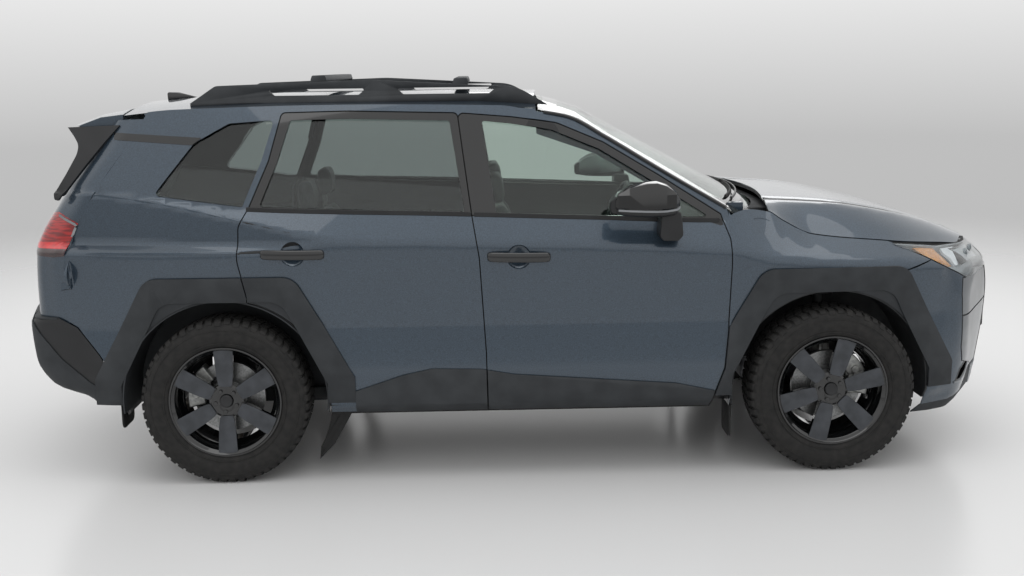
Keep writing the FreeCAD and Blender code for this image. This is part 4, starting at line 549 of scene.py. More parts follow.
def on_body(x, z):
    """Point of the side, painted below the belt and glazed above it."""
    return on_skin(x, z) if z <= belt_z(x) else on_house(x, z)


def body_y(x, z):
    """Half width of the side, with sharp creases."""
    return skin_y(x, z) if z <= belt_z(x) else house_y(x, z)


# Outlines of the openings in side view

front_door_outline = offset(FRONT_AXLE, BELT, [(-552, -822), (-488, -647), (-471, -481), (-464, -186),
                                               (-468, -74), (-502, 28), (-771, 200), (-1009, 343),
                                               (-1210, 428, 120), (-1414, 458, 300), (-1646, 478, 20),
                                               (-1589, 40), (-1560, -132, 300), (-1536, -558, 300),
                                               (-1532, -822)])
rear_door_outline = offset(REAR_AXLE, BELT, [(1153, -822), (1149, -558, 300), (1125, -132, 300), (1096, 40),
                                             (1039, 478, 20), (560, 492, 600), (272, 488, 20), (219, 285),
                                             (137, 94, 60), (92, 10, 60), (86, -134, 200), (120, -295.5),
                                             (120, -822)])
front_window_outline = offset(FRONT_AXLE, BELT, [(-545, 16, 8), (-800, 178), (-1025, 316), (-1230, 400, 100),
                                                 (-1414, 432, 200), (-1544, 446, 12), (-1484, 50, 12),
                                                 (-1100, 34)])
rear_window_outline = offset(REAR_AXLE, BELT, [(1068, 54, 12), (1006, 448, 12), (560, 462, 600),
                                               (308, 458, 12), (252, 275), (176, 92, 12)])
quarter_window_outline = offset(REAR_AXLE, BELT, [(104, 92, 12), (184, 282), (238, 460, 16), (40, 448, 60),
                                                  (-110, 366), (-284, 145, 16)])


# CAD nodes: each keeps its shape, gets a finish and softened edges

SHARP_DEGREES, FLAT_DEGREES, WELD = 28, 0.4, 0.02

def modifier_group(name):
    """Empty group for a modifier, with its input and its output node."""
    group = bpy.data.node_groups.new(name, "GeometryNodeTree")
    for way in ("INPUT", "OUTPUT"):
        group.interface.new_socket("Geometry", in_out=way, socket_type="NodeSocketGeometry")
    return group, group.nodes.new("NodeGroupInput"), group.nodes.new("NodeGroupOutput")


def smoothing_group():
    """Smooth shading below an edge angle, for meshes that come in faceted."""
    group, source, result = modifier_group("smooth_below_angle")
    angle = group.nodes.new("GeometryNodeInputMeshEdgeAngle")
    sharp = group.nodes.new("FunctionNodeCompare")
    sharp.data_type, sharp.operation = "FLOAT", "GREATER_THAN"
    sharp.inputs[1].default_value = math.radians(SHARP_DEGREES)
    faces, edges = (group.nodes.new("GeometryNodeSetShadeSmooth") for _ in range(2))
    faces.domain, edges.domain = "FACE", "EDGE"
    edges.inputs["Shade Smooth"].default_value = False
    for start, end in ((source.outputs[0], faces.inputs["Geometry"]),
                       (faces.outputs[0], edges.inputs["Geometry"]), (angle.outputs[0], sharp.inputs[0]),
                       (sharp.outputs[0], edges.inputs["Selection"]), (edges.outputs[0], result.inputs[0])):
        group.links.new(start, end)
    return group


smooth_below_angle = smoothing_group()


def dress(node, material, edge=2.5, sink=0, angle=24):
    """Finish a CAD node: weld, round its edges, shade it smooth; sink draws it in below a skin."""
    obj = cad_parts[node]
    for slot in obj.material_slots:
        slot.link = "OBJECT"
        slot.material = material
    weld = obj.modifiers.new("weld", "WELD")
    weld.merge_threshold = WELD * MM
    if sink:
        inwards = obj.modifiers.new("sunk_below_skin", "DISPLACE")
        inwards.strength, inwards.mid_level = -sink * MM, 0
    if edge:
        flat = obj.modifiers.new("merge_flats", "DECIMATE")
        flat.decimate_type, flat.angle_limit = "DISSOLVE", math.radians(FLAT_DEGREES)
        soften(obj, edge, 2, angle)
    smooth = obj.modifiers.new("smooth", "NODES")
    smooth.node_group = smooth_below_angle
    return obj


def trim_inside(material):
    """Dark trim on the faces that look into the cabin, low on the sill and round the rear wheels."""
    tree = material.node_tree
    shader = tree.nodes["Principled BSDF"]

    def part(vector, axis):
        return add(tree, "SeparateXYZ", {"Vector": vector}).outputs[axis]

    def maths(operation, a, b):
        return add(tree, "Math", {0: a, 1: b}, operation=operation).outputs[0]

    place = add(tree, "TexCoord")
    outwards = maths("MULTIPLY", part(place.outputs["Normal"], "Y"), part(place.outputs["Object"], "Y"))
    spot = add(tree, "NewGeometry").outputs["Position"]
    away = add(tree, "VectorMath", {0: spot, 1: (REAR_AXLE * MM, 0, HUB_HEIGHT * MM)}, operation="SUBTRACT")
    away = add(tree, "VectorMath", {0: away.outputs[0], 1: (1, 0, 1)}, operation="MULTIPLY").outputs[0]
    reach = add(tree, "VectorMath", {0: away}, operation="LENGTH").outputs["Value"]
    near_wheel = maths("LESS_THAN", reach, (ARCH_RADIUS + 70) * MM)
    low = maths("LESS_THAN", part(spot, "Z"), (SILL + 62) * MM)
    plain = maths("MAXIMUM", maths("MAXIMUM", maths("LESS_THAN", outwards, -0.2), low), near_wheel)
    painted = shader.inputs["Base Color"].links[0].from_socket
    mix = add(tree, "MixRGB", {"Fac": plain, "Color1": painted, "Color2": linear(PLAIN_TRIM)})
    tree.links.new(mix.outputs[0], shader.inputs["Base Color"])


# Painted steel with trim on its cabin side: body shell seen through the doors and glass
shell_paint = made_of("metallic_paint_shell", "#313e4a", 0.36, (4, "#3b4a58", "#2a3641", 0.3, 0.7),
                      Metallic=0.45, Coat_Weight=0.8, Coat_Roughness=0.05)
trim_inside(shell_paint)

for side, sign in SIDES:
    for end in ("front", "rear"):
        dress("door_%s_%s" % (end, side), cabin_trim, 0, SINK)
        dress("door_cladding_%s_%s" % (end, side), cladding, 3)
        dress("tyre_%s_%s" % (end, side), tyre_rubber, 0)
        dress("rim_%s_%s" % (end, side), wheel_coat, 0)
    dress("door_glass_front_" + side, clear_glass, 0)
    dress("door_glass_rear_" + side, privacy_glass, 0)
    dress("knuckle_" + side, caliper_iron, 2)
    dress("mirror_" + side, gloss_black, 0)
# Node, finish, width of its rounded edges and how far it is drawn in
DRESSED = [("body_sides", shell_paint, 0, SINK), ("quarter_glass", privacy_glass, 0, 0),
           ("tailgate_glass", privacy_glass, 0, 0), ("windscreen", clear_glass, 0, 0),
           ("roof_panel", paint, 0, 0), ("bonnet", primer_steel, 0, 5), ("front_wings", paint, 0, SINK),
           ("front_bumper", paint, 0, 0), ("front_grille", gloss_black, 3, 0),
           ("front_guard", silver_trim, 4, 0), ("rear_bumper", cladding, 5, 0), ("tailgate", paint, 0, 4),
           ("rear_spoiler", paint, 4, 0), ("tail_lamps", red_lens, 2, 0),
           ("headlamps", bright_reflector, 0, 0), ("arch_flares", cladding, 4, 0),
           ("mud_flaps", seal_rubber, 1, 0), ("roof_rack", cladding, 4, 0), ("roof_fin", gloss_black, 3, 0),
           ("front_structure", primer_steel, 2, 0), ("floor_pan", primer_steel, 2, 0),
           ("front_suspension", primer_steel, 2, 0), ("rear_suspension", primer_steel, 2, 0),
           ("exhaust", exhaust_steel, 1, 0), ("engine_block", cast_aluminium, 8, 0),
           ("front_seats", seat_cloth, 20, 0), ("rear_bench", seat_cloth, 20, 0),
           ("dashboard", cabin_trim, 12, 0), ("steering_wheel", leathercloth, 2, 0)]
for node, material, edge, sink in DRESSED:
    dress(node, material, edge, sink)


# Stage: pale floor, white surroundings, soft studio light

CAMERA_PLACE = Vector((-0.185, -6.2, 1.806))
YAW, PITCH, ROLL, LENS = math.radians(1.49), math.radians(10.15), math.radians(-0.75), 43.4
# Floor's radius and where it starts and ends fading into the room, in metres; sides of its outline
FLOOR_RADIUS, FADE_START, FADE_END, FLOOR_SIDES = 11, 3.6, 10.5, 96


def set_camera():
    """Camera at the photograph's place and angle."""
    ahead = Vector((math.sin(YAW) * math.cos(PITCH), math.cos(YAW) * math.cos(PITCH), -math.sin(PITCH)))
    right = Vector((math.cos(YAW), -math.sin(YAW), 0))
    up = right.cross(ahead)
    across = right * math.cos(ROLL) + up * math.sin(ROLL)
    rise = up * math.cos(ROLL) - right * math.sin(ROLL)
    data = bpy.data.cameras.new("camera")
    data.lens, data.sensor_width = LENS, 36
    camera = bpy.data.objects.new("camera", data)
    columns = (across, rise, -ahead, CAMERA_PLACE)
    camera.matrix_world = Matrix([[c[i] for c in columns] for i in range(3)] + [[0, 0, 0, 1]])
    bpy.context.scene.collection.objects.link(camera)
    bpy.context.scene.camera = camera


def soft_lamp(name, place, aim, width, height, watts, mirrored=True):
    """Large soft box that points at a place on the car."""
    data = bpy.data.lights.new(name, "AREA")
    data.shape, data.size, data.size_y, data.energy = "RECTANGLE", width, height, watts
    lamp = bpy.data.objects.new(name, data)
    lamp.location = place
    lamp.rotation_euler = (Vector(aim) - Vector(place)).to_track_quat("-Z", "Y").to_euler()
    lamp.visible_glossy = mirrored
    bpy.context.scene.collection.objects.link(lamp)


def set_stage():
    """Pale round floor that fades into a soft grey room, brighter overhead."""
    scene = bpy.context.scene
    scene.view_settings.view_transform = "Standard"
    world = bpy.data.worlds.new("studio")
    scene.world = world
    world.use_nodes = True
    tree = world.node_tree
    background = tree.nodes["Background"]
    way = add(tree, "SeparateXYZ", {"Vector": add(tree, "TexCoord").outputs["Generated"]}).outputs["Z"]
    height = add(tree, "MapRange", {"Value": way, "From Min": -0.2, "From Max": 1.0}).outputs["Result"]
    sky = add(tree, "ValToRGB", {"Fac": height})
    for place_on_ramp, level in ((0.02, 0.5), (0.12, 0.52), (0.21, 0.8), (0.4, 0.95), (1.0, 1.0)):
        stop = sky.color_ramp.elements.new(place_on_ramp)
        stop.color = (level, level, level, 1)
    sky.color_ramp.elements.remove(sky.color_ramp.elements[0])
    tree.links.new(sky.outputs["Color"], background.inputs["Color"])
    soft_lamp("lamp_overhead", (0.4, -1.2, 4.6), (0, 0, 0.8), 5.5, 2.6, 50)
    soft_lamp("lamp_right", (-2.2, -5.4, 3.4), (0, -0.6, 0.9), 4.2, 1.8, 30, False)
    soft_lamp("lamp_back", (1.5, 5.2, 3.6), (0, 0.6, 0.9), 4.2, 1.8, 30)
    mesh = bpy.data.meshes.new("studio_floor")
    mesh.from_pydata([(x, y, 0) for x, y in circle(FLOOR_RADIUS, FLOOR_SIDES)], [],
                     [tuple(range(FLOOR_SIDES))])
    floor = bpy.data.objects.new("studio_floor", mesh)
    scene.collection.objects.link(floor)
    lacquer = finish("painted_floor_lacquered", "#dcdcdc", 0.22)
    mesh.materials.append(lacquer)
    tree = lacquer.node_tree
    spot = add(tree, "NewGeometry").outputs["Position"]
    reach = add(tree, "VectorMath", {0: spot}, operation="LENGTH").outputs["Value"]
    fade = add(tree, "MapRange", {"Value": reach, "From Min": FADE_START, "From Max": FADE_END},
               interpolation_type="SMOOTHSTEP").outputs["Result"]
    clear = add(tree, "BsdfTransparent")
    mix = add(tree, "MixShader", {0: fade, 1: tree.nodes["Principled BSDF"].outputs[0],
                                  2: clear.outputs[0]})
    tree.links.new(mix.outputs[0], tree.nodes["Material Output"].inputs["Surface"])


set_camera()
set_stage()


# Wheels: all-terrain tyre, rim with six flat spoke plates over gloss pockets, disc and caliper

def wheel_point(axle, sign, radius, across, along, angle):
    """Point of a wheel from its radius, sideways offset and place along the axle."""
    return (axle + radius * math.cos(angle) - across * math.sin(angle), sign * (HALF_TRACK + along),
            HUB_HEIGHT + radius * math.sin(angle) + across * math.cos(angle))


def wheel_ring(name, axle, sign, profile, material, smooth=30, count=120, body="body", slot=None):
    """Profile of (along the axle, radius) points turned about a wheel's axle."""
    points, faces = [], []
    size = len(profile)
    for i in range(count):
        turn = 2 * math.pi * i / count
        points += [(axle + radius * math.cos(turn), sign * HALF_TRACK + sign * along,
                    HUB_HEIGHT + radius * math.sin(turn)) for along, radius in profile]
        faces += band(size, i * size, ((i + 1) % count) * size)
    return piece(name, points, faces, material, body, slot, smooth)


TYRE_SECTION = [(96, 247), (99, 250), (106, 258), (112, 272), (116.5, 290), (117.5, 306), (116, 322),
                (112.5, 336), (108, 347), (103, 354), (96, 358), (80, 360.5), (50, 361.5), (0, 362)]
TYRE_HOLLOW = [(-88, 247), (-80, 262), (-96, 306), (-84, 342), (0, 349), (84, 342), (96, 306), (80, 262),
               (88, 247)]
TREAD_PITCHES = 56
# Each row of tread blocks: inner and outer place along the axle, share of a pitch, slant, stagger
TREAD_ROWS = [(-17, 17, 0.74, 0.2, 0.0), (22, 54, 0.72, -0.24, 0.35), (-54, -22, 0.72, 0.24, 0.85),
              (60, 101, 0.66, -0.1, 0.1), (-101, -60, 0.66, 0.1, 0.6)]


def tread(name, axle, sign, body):
    """Tread blocks in rows, the outer ones wrapped over the shoulders as lugs."""
    points, faces = [], []
    for inner, outer, share, slant, stagger in TREAD_ROWS:
        shoulder = max(abs(inner), abs(outer)) > 90
        for pitch in range(TREAD_PITCHES):
            start = 2 * math.pi * (pitch + stagger) / TREAD_PITCHES
            wide = 2 * math.pi * share / TREAD_PITCHES
            long_lug = shoulder and pitch % 2 == 0
            low, high = (inner, outer) if inner >= -20 or not shoulder else (outer, inner)
            edge = math.copysign(1, outer + inner) if shoulder else 0
            rows = [(inner, 369),
                    (outer, 369)] if not shoulder else ([(edge * 60, 369.2), (edge * 93, 367),
                                                         (edge * 103, 361.5),
                                                         (edge * (111 if long_lug else 107), 347
                                                          if long_lug else 354)])
            base = len(points)
            for along, radius in rows:
                lean = slant * wide * (along - inner) / (outer - inner)
                for angle in (start + lean, start + lean + wide):
                    points.append(wheel_point(axle, sign, radius, 0, along, angle))
                    points.append(wheel_point(axle, sign, radius - (12 if not shoulder else 9), 0,
                                              along - (edge * 4 if abs(along) > 95 else 0), angle))
            for k in range(len(rows) - 1):
                a, b = base + 4 * k, base + 4 * k + 4
                faces += [[a, a + 2, b + 2, b], [a, b, b + 1, a + 1], [a + 2, a + 3, b + 3, b + 2],
                          [a + 1, b + 1, b + 3, a + 3]]
            last = base + 4 * (len(rows) - 1)
            faces += [[base, base + 1, base + 3, base + 2], [last, last + 2, last + 3, last + 1]]
    return piece(name, points, faces, tyre_rubber, body, "tyre_rubber", 25)


RIM_SECTION = [(104, 247), (104, 240), (98, 236), (92, 226), (86, 222), (24, 214), (6, 196), (-78, 196),
               (-86, 222), (-104, 233), (-104, 247), (-96, 247), (-96, 229), (-78, 206), (0, 206), (20, 223),
               (84, 230), (96, 236), (96, 247)]
HUB_SECTION = [(48, 26), (74, 26), (76, 30), (76, 66), (70, 76), (30, 80), (30, 26)]
CAP_SECTION = [(60, 0.01), (60, 28), (82, 28), (85, 25), (85, 21), (83.5, 18), (83.5, 0.01)]
DISC_SECTION = [(-30, 60), (-30, 158), (-8, 158), (-8, 92), (20, 88), (30, 82), (30, 40), (22, 40), (20, 70),
                (-8, 74), (-8, 60)]
SPOKES, LUGS, CALIPER_HALF = 6, 5, math.radians(34)


SPOKE_PLATE = rounded([(66, -30, 14), (120, -37, 60), (236, -43, 5), (240, 0, 300), (236, 43, 5),
                       (120, 37, 60), (66, 30, 14)], 12)
SPOKE_RIB = rounded([(50, -27, 8), (226, -35, 4), (226, 35, 4), (50, 27, 8)], 16)


def spoke(name, outline, face, depth, bevel, material, axle, sign, angle, body):
    """Plate or rib of one spoke, its face leaning outwards from hub to rim."""
    def to_point(radius, across, down):
        return wheel_point(axle, sign, radius, across, face + 13 * (radius - 60) / 180 - down, angle)
    return prism(name, outline, to_point, 0, depth, material, bevel, body=body, slot="wheel_alloy")


def wheel(end, side, sign, axle, turn, body, carrier, caliper_at):
    """One wheel: tyre, rim, hub, nuts and disc on the wheel's body, and the caliper on its carrier."""
    tag = "%s_%s" % (end, side)

    def across(x, z, along):
        return (x, sign * (HALF_TRACK + along), z)

    section = TYRE_SECTION + [(-a, r) for a, r in TYRE_SECTION[-2::-1]] + TYRE_HOLLOW
    carcass = wheel_ring("tyre_carcass_" + tag, axle, sign, section, tyre_rubber, 40, body=body)
    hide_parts("tyre_" + tag)
    tread("tyre_tread_" + tag, axle, sign, body)
    for number, (radius, base, high) in enumerate(((268, 111, 3), (326, 115, 2.2))):
        rib = [(base - 3, radius - 4), (base + high, radius - 2), (base + high, radius + 2),
               (base - 3, radius + 4)]
        wheel_ring("tyre_rib_%d_%s" % (number, tag), axle, sign, rib, tyre_rubber, 30, body=body)
    rim = wheel_ring("rim_barrel_" + tag, axle, sign, RIM_SECTION, gloss_black, 30, body=body,
                     slot="wheel_alloy")
    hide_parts("rim_" + tag)
    for number in range(SPOKES):
        angle = turn + number * 2 * math.pi / SPOKES
        spoke("spoke_plate_%d_%s" % (number, tag), SPOKE_PLATE, 84, 9, 1.6, wheel_coat, axle, sign, angle,
              body)
        spoke("spoke_rib_%d_%s" % (number, tag), SPOKE_RIB, 75, 42, 2, gloss_black, axle, sign, angle, body)
    wheel_ring("rim_hub_" + tag, axle, sign, HUB_SECTION, gloss_black, 30, 72, body=body,
               slot="wheel_alloy")
    wheel_ring("hub_cap_" + tag, axle, sign, CAP_SECTION, satin_black, 30, 48, body=body)
    for number in range(LUGS):
        angle = turn + math.pi / 2 + number * 2 * math.pi / LUGS
        cx, _, cz = wheel_point(axle, sign, 48, 0, 0, angle)
        nut = [(cx + a, cz + b) for a, b in circle(10.5, 6)]
        prism("lug_nut_%d_%s" % (number, tag), nut, across, 66, 86, gloss_black, 2.5, body=body)
    wheel_ring("brake_disc_" + tag, axle, sign, DISC_SECTION, disc_iron, 30, 96, body=body)
    arc = []
    for radius, steps in ((182, range(-6, 7)), (104, range(6, -7, -1))):
        turns = [caliper_at + CALIPER_HALF * k / 6 for k in steps]
        arc += [(axle + math.cos(t) * radius, HUB_HEIGHT + math.sin(t) * radius) for t in turns]
    prism("caliper_" + tag, arc, across, -52, 22, caliper_iron, 7, 35, 3, body=carrier)
    for number, shift in enumerate((-30, 30)):
        cx, _, cz = wheel_point(axle, sign, 140, shift, 22, caliper_at)
        piston = [(cx + a, cz + b) for a, b in circle(17, 20)]
        prism("caliper_piston_%d_%s" % (number, tag), piston, across, 12, 34, caliper_iron, 4, body=carrier)


for side, sign in SIDES:
    wheel("rear", side, sign, REAR_AXLE, math.radians(30), "wheel_rear_" + side, "body", math.radians(160))
    wheel("front", side, sign, FRONT_AXLE, math.radians(15), "wheel_front_" + side, "knuckle_" + side,
          math.radians(20))


# Painted skins of the body side, laid on the body's lines and trimmed to the panels

def grown(loop, distance):
    """Closed outline moved outwards all round by a small distance."""
    area = sum(a[0] * b[1] - b[0] * a[1] for a, b in zip(loop, loop[1:] + loop[:1]))
    turn = 1 if area > 0 else -1
    result = []
    for i, here in enumerate(loop):
        back = Vector((here[0] - loop[i - 1][0], here[1] - loop[i - 1][1]))
        ahead = Vector((loop[(i + 1) % len(loop)][0] - here[0], loop[(i + 1) % len(loop)][1] - here[1]))
        if back.length > 1e-6 and ahead.length > 1e-6:
            sides = [Vector((way.y, -way.x)).normalized() * turn for way in (back, ahead)]
            shift = (sides[0] + sides[1]) / (1 + sides[0].dot(sides[1]) + 1e-6)
            result.append((here[0] + shift.x * distance, here[1] + shift.y * distance))
    return result


def between(points, step=14):
    """Points spaced evenly along an open line."""
    result = []
    for (a, b), (c, d) in zip(points, points[1:]):
        parts = max(1, int(math.hypot(c - a, d - b) / step))
        result += [(a + (c - a) * k / parts, b + (d - b) * k / parts) for k in range(parts)]
    return result + [points[-1]]


def arch_circle(axle, radius):
    """Wheel opening's round outline, open downwards."""
    top = [(axle + radius * math.cos(math.pi * i / 60), HUB_HEIGHT + radius * math.sin(math.pi * i / 60))
           for i in range(61)]
    return top + [(axle - radius, 100), (axle + radius, 100)]


front_door_loop, rear_door_loop = rounded(front_door_outline), rounded(rear_door_outline)
front_window_loop, rear_window_loop = rounded(front_window_outline), rounded(rear_window_outline)
quarter_window_loop = rounded(quarter_window_outline)
below_belt = [(x, belt_z(x) - 4) for x in range(-2250, 2250, 20)] + [(2250, 100), (-2250, 100)]
above_belt = [(x, belt_z(x) + 1) for x in range(-2250, 2250, 20)] + [(2250, 2200), (-2250, 2200)]
tail_seam = offset(TAIL, BELT, [(308, -430), (308, -270), (315, -105), (348, -10), (402, 85), (468, 200),
                                (574, 350), (662, 470)])
bumper_seam = offset(REAR_AXLE, SILL, [(-785, 448), (-722, 448), (-640, 405), (-545, 285), (-450, 130)])
screen_line = offset(FRONT_AXLE, BELT, [(-1300, 482), (-1159, 455), (-1003, 370), (-760, 222), (-472, 52)])
headlamp_loop = rounded(offset(FRONT_AXLE, SHOULDER,
                               [(268, 17), (415, -48), (597, -137, 20), (657, -171, 20), (925, -171),
                                (925, 60), (262, 60)]))
door_gaps = [grown(front_door_loop, SHUT), grown(rear_door_loop, SHUT)]
roof_edge = [(x, glass_top_z(x)) for x in range(TAIL + 662, FRONT_AXLE - 1300, 20)]
side_loop = (tail_seam[1:-1] + roof_edge + between(screen_line, 20)
             + [(FRONT_AXLE - 463, BELT + 20), (FRONT_AXLE - 463, SILL + 62), (REAR_AXLE - 450, SILL + 62)]
             + bumper_seam[::-1])
wing_loop = ([(FRONT_AXLE - 463, SILL + 62), (FRONT_AXLE - 463, BELT + 40)]
             + [(x, belt_z(x)) for x in range(int(FRONT_AXLE - 455), int(FRONT_AXLE + 466), 12)]
             + [(FRONT_AXLE + 466, SHOULDER - 52), (FRONT_AXLE + 268, SHOULDER - 116),
                (FRONT_AXLE + 185, SHOULDER - 240), (FRONT_AXLE + 185, SILL + 62)])

# Radius of a hand cup, and where its middle is in each door
CUP = 54
HANDLES = {"front": (-16, 997), "rear": (-992, 1024)}


def cup_loop(centre):
    """Outline of a hand cup in side view."""
    return [(centre[0] + a, centre[1] + b) for a, b in circle(CUP, 48)]


for side, sign in SIDES:
    for end, outline, window in (("front", front_door_loop, front_window_loop),
                                 ("rear", rear_door_loop, rear_window_loop)):
        body = "door_%s_%s" % (end, side)
        arch = [arch_circle(REAR_AXLE, ARCH_RADIUS + 8)] if end == "rear" else []
        skin("door_skin_%s_%s" % (end, side), on_skin, [outline, below_belt],
             arch + [cup_loop(HANDLES[end])], paint, sign, body=body)
        skin("window_frame_%s_%s" % (end, side), on_house, [outline, above_belt], [window], gloss_black,
             sign, 26, body=body)
    skin("quarter_skin_" + side, on_body, [side_loop],
         door_gaps + [quarter_window_loop, arch_circle(REAR_AXLE, ARCH_RADIUS)], paint, sign)
    skin("wing_skin_" + side, on_skin, [wing_loop], [door_gaps[0], arch_circle(FRONT_AXLE, ARCH_RADIUS),
                                                     headlamp_loop], paint, sign)


# Black lips that close the squared flares onto the round wheel openings

def arch_outline(axle, grow):
    """Squared outline of a flare, grown all round."""
    rise, low = HUB_HEIGHT, SILL + 61
    return [(axle - 455 - grow, low), (axle - 455 - grow, rise + 80 + grow * 0.2),
            (axle - 262 - grow * 0.5, rise + 448 + grow * 0.9, 90),
            (axle + 262 + grow * 0.5, rise + 448 + grow * 0.9, 90),
            (axle + 455 + grow, rise + 80 + grow * 0.2), (axle + 455 + grow, low)]


def on_lip(x, z):
    """Painted side moved out by a lip's stand."""
    return (x, soft_y(x, z) + 2, z)


for side, sign in SIDES:
    inner = rounded(arch_outline(REAR_AXLE, 4))
    skin("arch_lip_rear_" + side, on_lip, [inner], [arch_circle(REAR_AXLE, ARCH_RADIUS - 1), door_gaps[1]],
         cladding, sign, 30, 4)
    skin("arch_lip_door_" + side, on_lip, [inner, rear_door_loop], [arch_circle(REAR_AXLE, ARCH_RADIUS + 8)],
         cladding, sign, 30, 4, body="door_rear_" + side)
    skin("arch_lip_front_" + side, on_lip, [rounded(arch_outline(FRONT_AXLE, 4))],
         [arch_circle(FRONT_AXLE, ARCH_RADIUS - 1)], cladding, sign, 30, 4)


# Weatherstrips along the belt of each door

def strip_path(x0, x1, sign, rise=4, out=-1, step=30):
    """Points along the belt between two stations."""
    count = int(abs(x1 - x0) / step) + 1
    stations = [x0 + (x1 - x0) * i / count for i in range(count + 1)]
    return [(x, sign * (belt_y(x) + out), belt_z(x) + rise) for x in stations]


STRIP = [(-6, -9), (5, -9), (6, -6), (6, 6), (2, 10), (-6, 10)]
for side, sign in SIDES:
    for end, x0, x1 in (("front", FRONT_AXLE - 508, MID_SHUT - 22),
                        ("rear", MID_SHUT - 34, REAR_AXLE + 122)):
        path = strip_path(x0, x1, sign)
        section = [(-a * sign * (1 if x0 > x1 else -1), b) for a, b in STRIP]
        soften(sweep("belt_strip_%s_%s" % (end, side), path, section, satin_black,
                     body="door_%s_%s" % (end, side)), 1.5)


# Bonnet: crowned skin with a soft ridge along each side

bonnet_crease_z = body_line(BELT, front={-300: 68, 42: 46, 346: -6, 530: -56, 690: -116, 830: -172})
bonnet_crease_y = body_line(0, front={-300: 630, 42: 610, 346: 560, 530: 500, 690: 430, 830: 380})


def on_bonnet(x, y):
    """Bonnet surface: it falls from a raised middle over a soft ridge to the wing's edge."""
    edge_y, edge_z = belt_y(x) - SHUT, belt_z(x) + 2
    ridge_y = bonnet_crease_y(x)
    ridge_z = max(bonnet_crease_z(x), edge_z + 4)

    def height(w):
        w = abs(w)
        if w > ridge_y:
            share = (w - ridge_y) / max(edge_y - ridge_y, 1)
            return ridge_z + (edge_z - ridge_z) * share + 9 * math.sin(math.pi * min(max(share, 0), 1))
        return ridge_z + 8 * (1 - (w / ridge_y) ** 2) - 10 * math.exp(-((w - ridge_y + 90) / 45) ** 2)
    blend = sum(height(y + d) * k for d, k in ((-36, 1), (-18, 2), (0, 3), (18, 2), (36, 1))) / 9
    return (x, y, blend + 1)


bonnet_plan = offset(FRONT_AXLE, 0, [(-268, -900), (-268, -700), (-180, 0, 2500), (-268, 700), (-268, 900),
                                     (600, 900), (640, 620), (690, 520, 60), (780, 200, 300),
                                     (780, -200, 300), (690, -520, 60), (640, -620), (600, -900)])
bonnet_stations = [(x, belt_y(x) - SHUT) for x in range(FRONT_AXLE - 285, FRONT_AXLE + 830, 15)]
bonnet_width = bonnet_stations + [(x, -y) for x, y in bonnet_stations[::-1]]
skin("bonnet_skin", on_bonnet, [rounded(bonnet_plan), bonnet_width], [], paint, step=24, depth=4,
     body="bonnet")


# Tail: plan curves stacked upwards; s runs along the curve from the middle of the car to its side

def wrapped(levels, plan_points):
    """Surface of (s, z) through rounded plan curves, with finders for s at a width or a station."""
    parts = [line_through([(level[0], level[n]) for level in levels]) for n in range(1, len(levels[0]))]
    curves = {}

    def curve(z):
        key = round(z)
        if key not in curves:
            half = [Vector(p) for p in plan_points(key, *[part(key) for part in parts])]
            full = [Vector((half[1].x, -half[1].y))] + half
            track = [half[0]]
            for before, corner, after in zip(full, full[1:], full[2:]):
                back, ahead = before - corner, after - corner
                reach = 0.45 * min(back.length, ahead.length)
                first, last = corner + back.normalized() * reach, corner + ahead.normalized() * reach
                track += [first * (1 - t) ** 2 + corner * 2 * t * (1 - t) + last * t * t
                          for t in (k / 10 for k in range(11))]
            track = [p for p in track if p.y >= -0.01] + [half[-1]]
            track = [Vector((track[1].x, 0))] + [p for p in track[1:] if p.y > 0.5]
            lengths = [0.0]
            for a, b in zip(track, track[1:]):
                lengths.append(lengths[-1] + (b - a).length)
            curves[key] = (np.array(lengths), np.array([p.x for p in track]),
                           np.array([p.y for p in track]))
        return curves[key]

    def at(s, z):
        low = math.floor(z)
        share = z - low
        result = []
        for level in (low, low + 1):
            lengths, xs, ys = curve(level)
            over = max(abs(s) - lengths[-1], 0)
            result.append((np.interp(abs(s), lengths, xs) + over * (1 if xs[-1] > xs[0] else -1),
                           math.copysign(np.interp(abs(s), lengths, ys), s)))
        x, y = (low_value * (1 - share) + high_value * share for low_value, high_value in zip(*result))
        return (x, y, z)

    def s_at_width(y, z):
        lengths, _, ys = curve(z)
        return math.copysign(float(np.interp(abs(y), ys, lengths)), y)

    def s_at_station(x, z):
        lengths, xs, _ = curve(z)
        order = xs if xs[-1] > xs[0] else -xs
        return float(np.interp(x if xs[-1] > xs[0] else -x, order, lengths))
    return at, s_at_width, s_at_station


# Height, corner set in from the tail, corner half width, middle set in
tail_levels = [(SILL + 400, 158, HALF_WIDTH - 149, 66), (SILL + 560, 158, HALF_WIDTH - 147, 62),
               (SHOULDER + 25, 165, HALF_WIDTH - 149, 66), (SHOULDER + 120, 198, HALF_WIDTH - 163, 108),
               (SHOULDER + 215, 252, HALF_WIDTH - 185, 168), (BELT + 200, 318, HALF_WIDTH - 216, 240),
               (BELT + 350, 424, HALF_WIDTH - 256, 350), (BELT + 470, 512, HALF_WIDTH - 286, 448)]


def tail_points(height, corner, width, middle):
    """Corners of the tail's plan curve at one height, from the middle to the side."""
    start = TAIL + corner + 150
    return [(TAIL + middle, 0), (TAIL + middle + 28, width * 0.58), (TAIL + corner, width),
            (start - 50, body_y(start - 50, height)), (start, body_y(start, height))]


on_tail, tail_s_at_width, tail_s_at_station = wrapped(tail_levels, tail_points)


def on_tail_loop(loop, view):
    """Outline in rear view (y, z) or side view (x, z) carried onto the tail's surface."""
    finder = tail_s_at_width if view == "rear" else tail_s_at_station
    return [(finder(a, b), b) for a, b in loop]


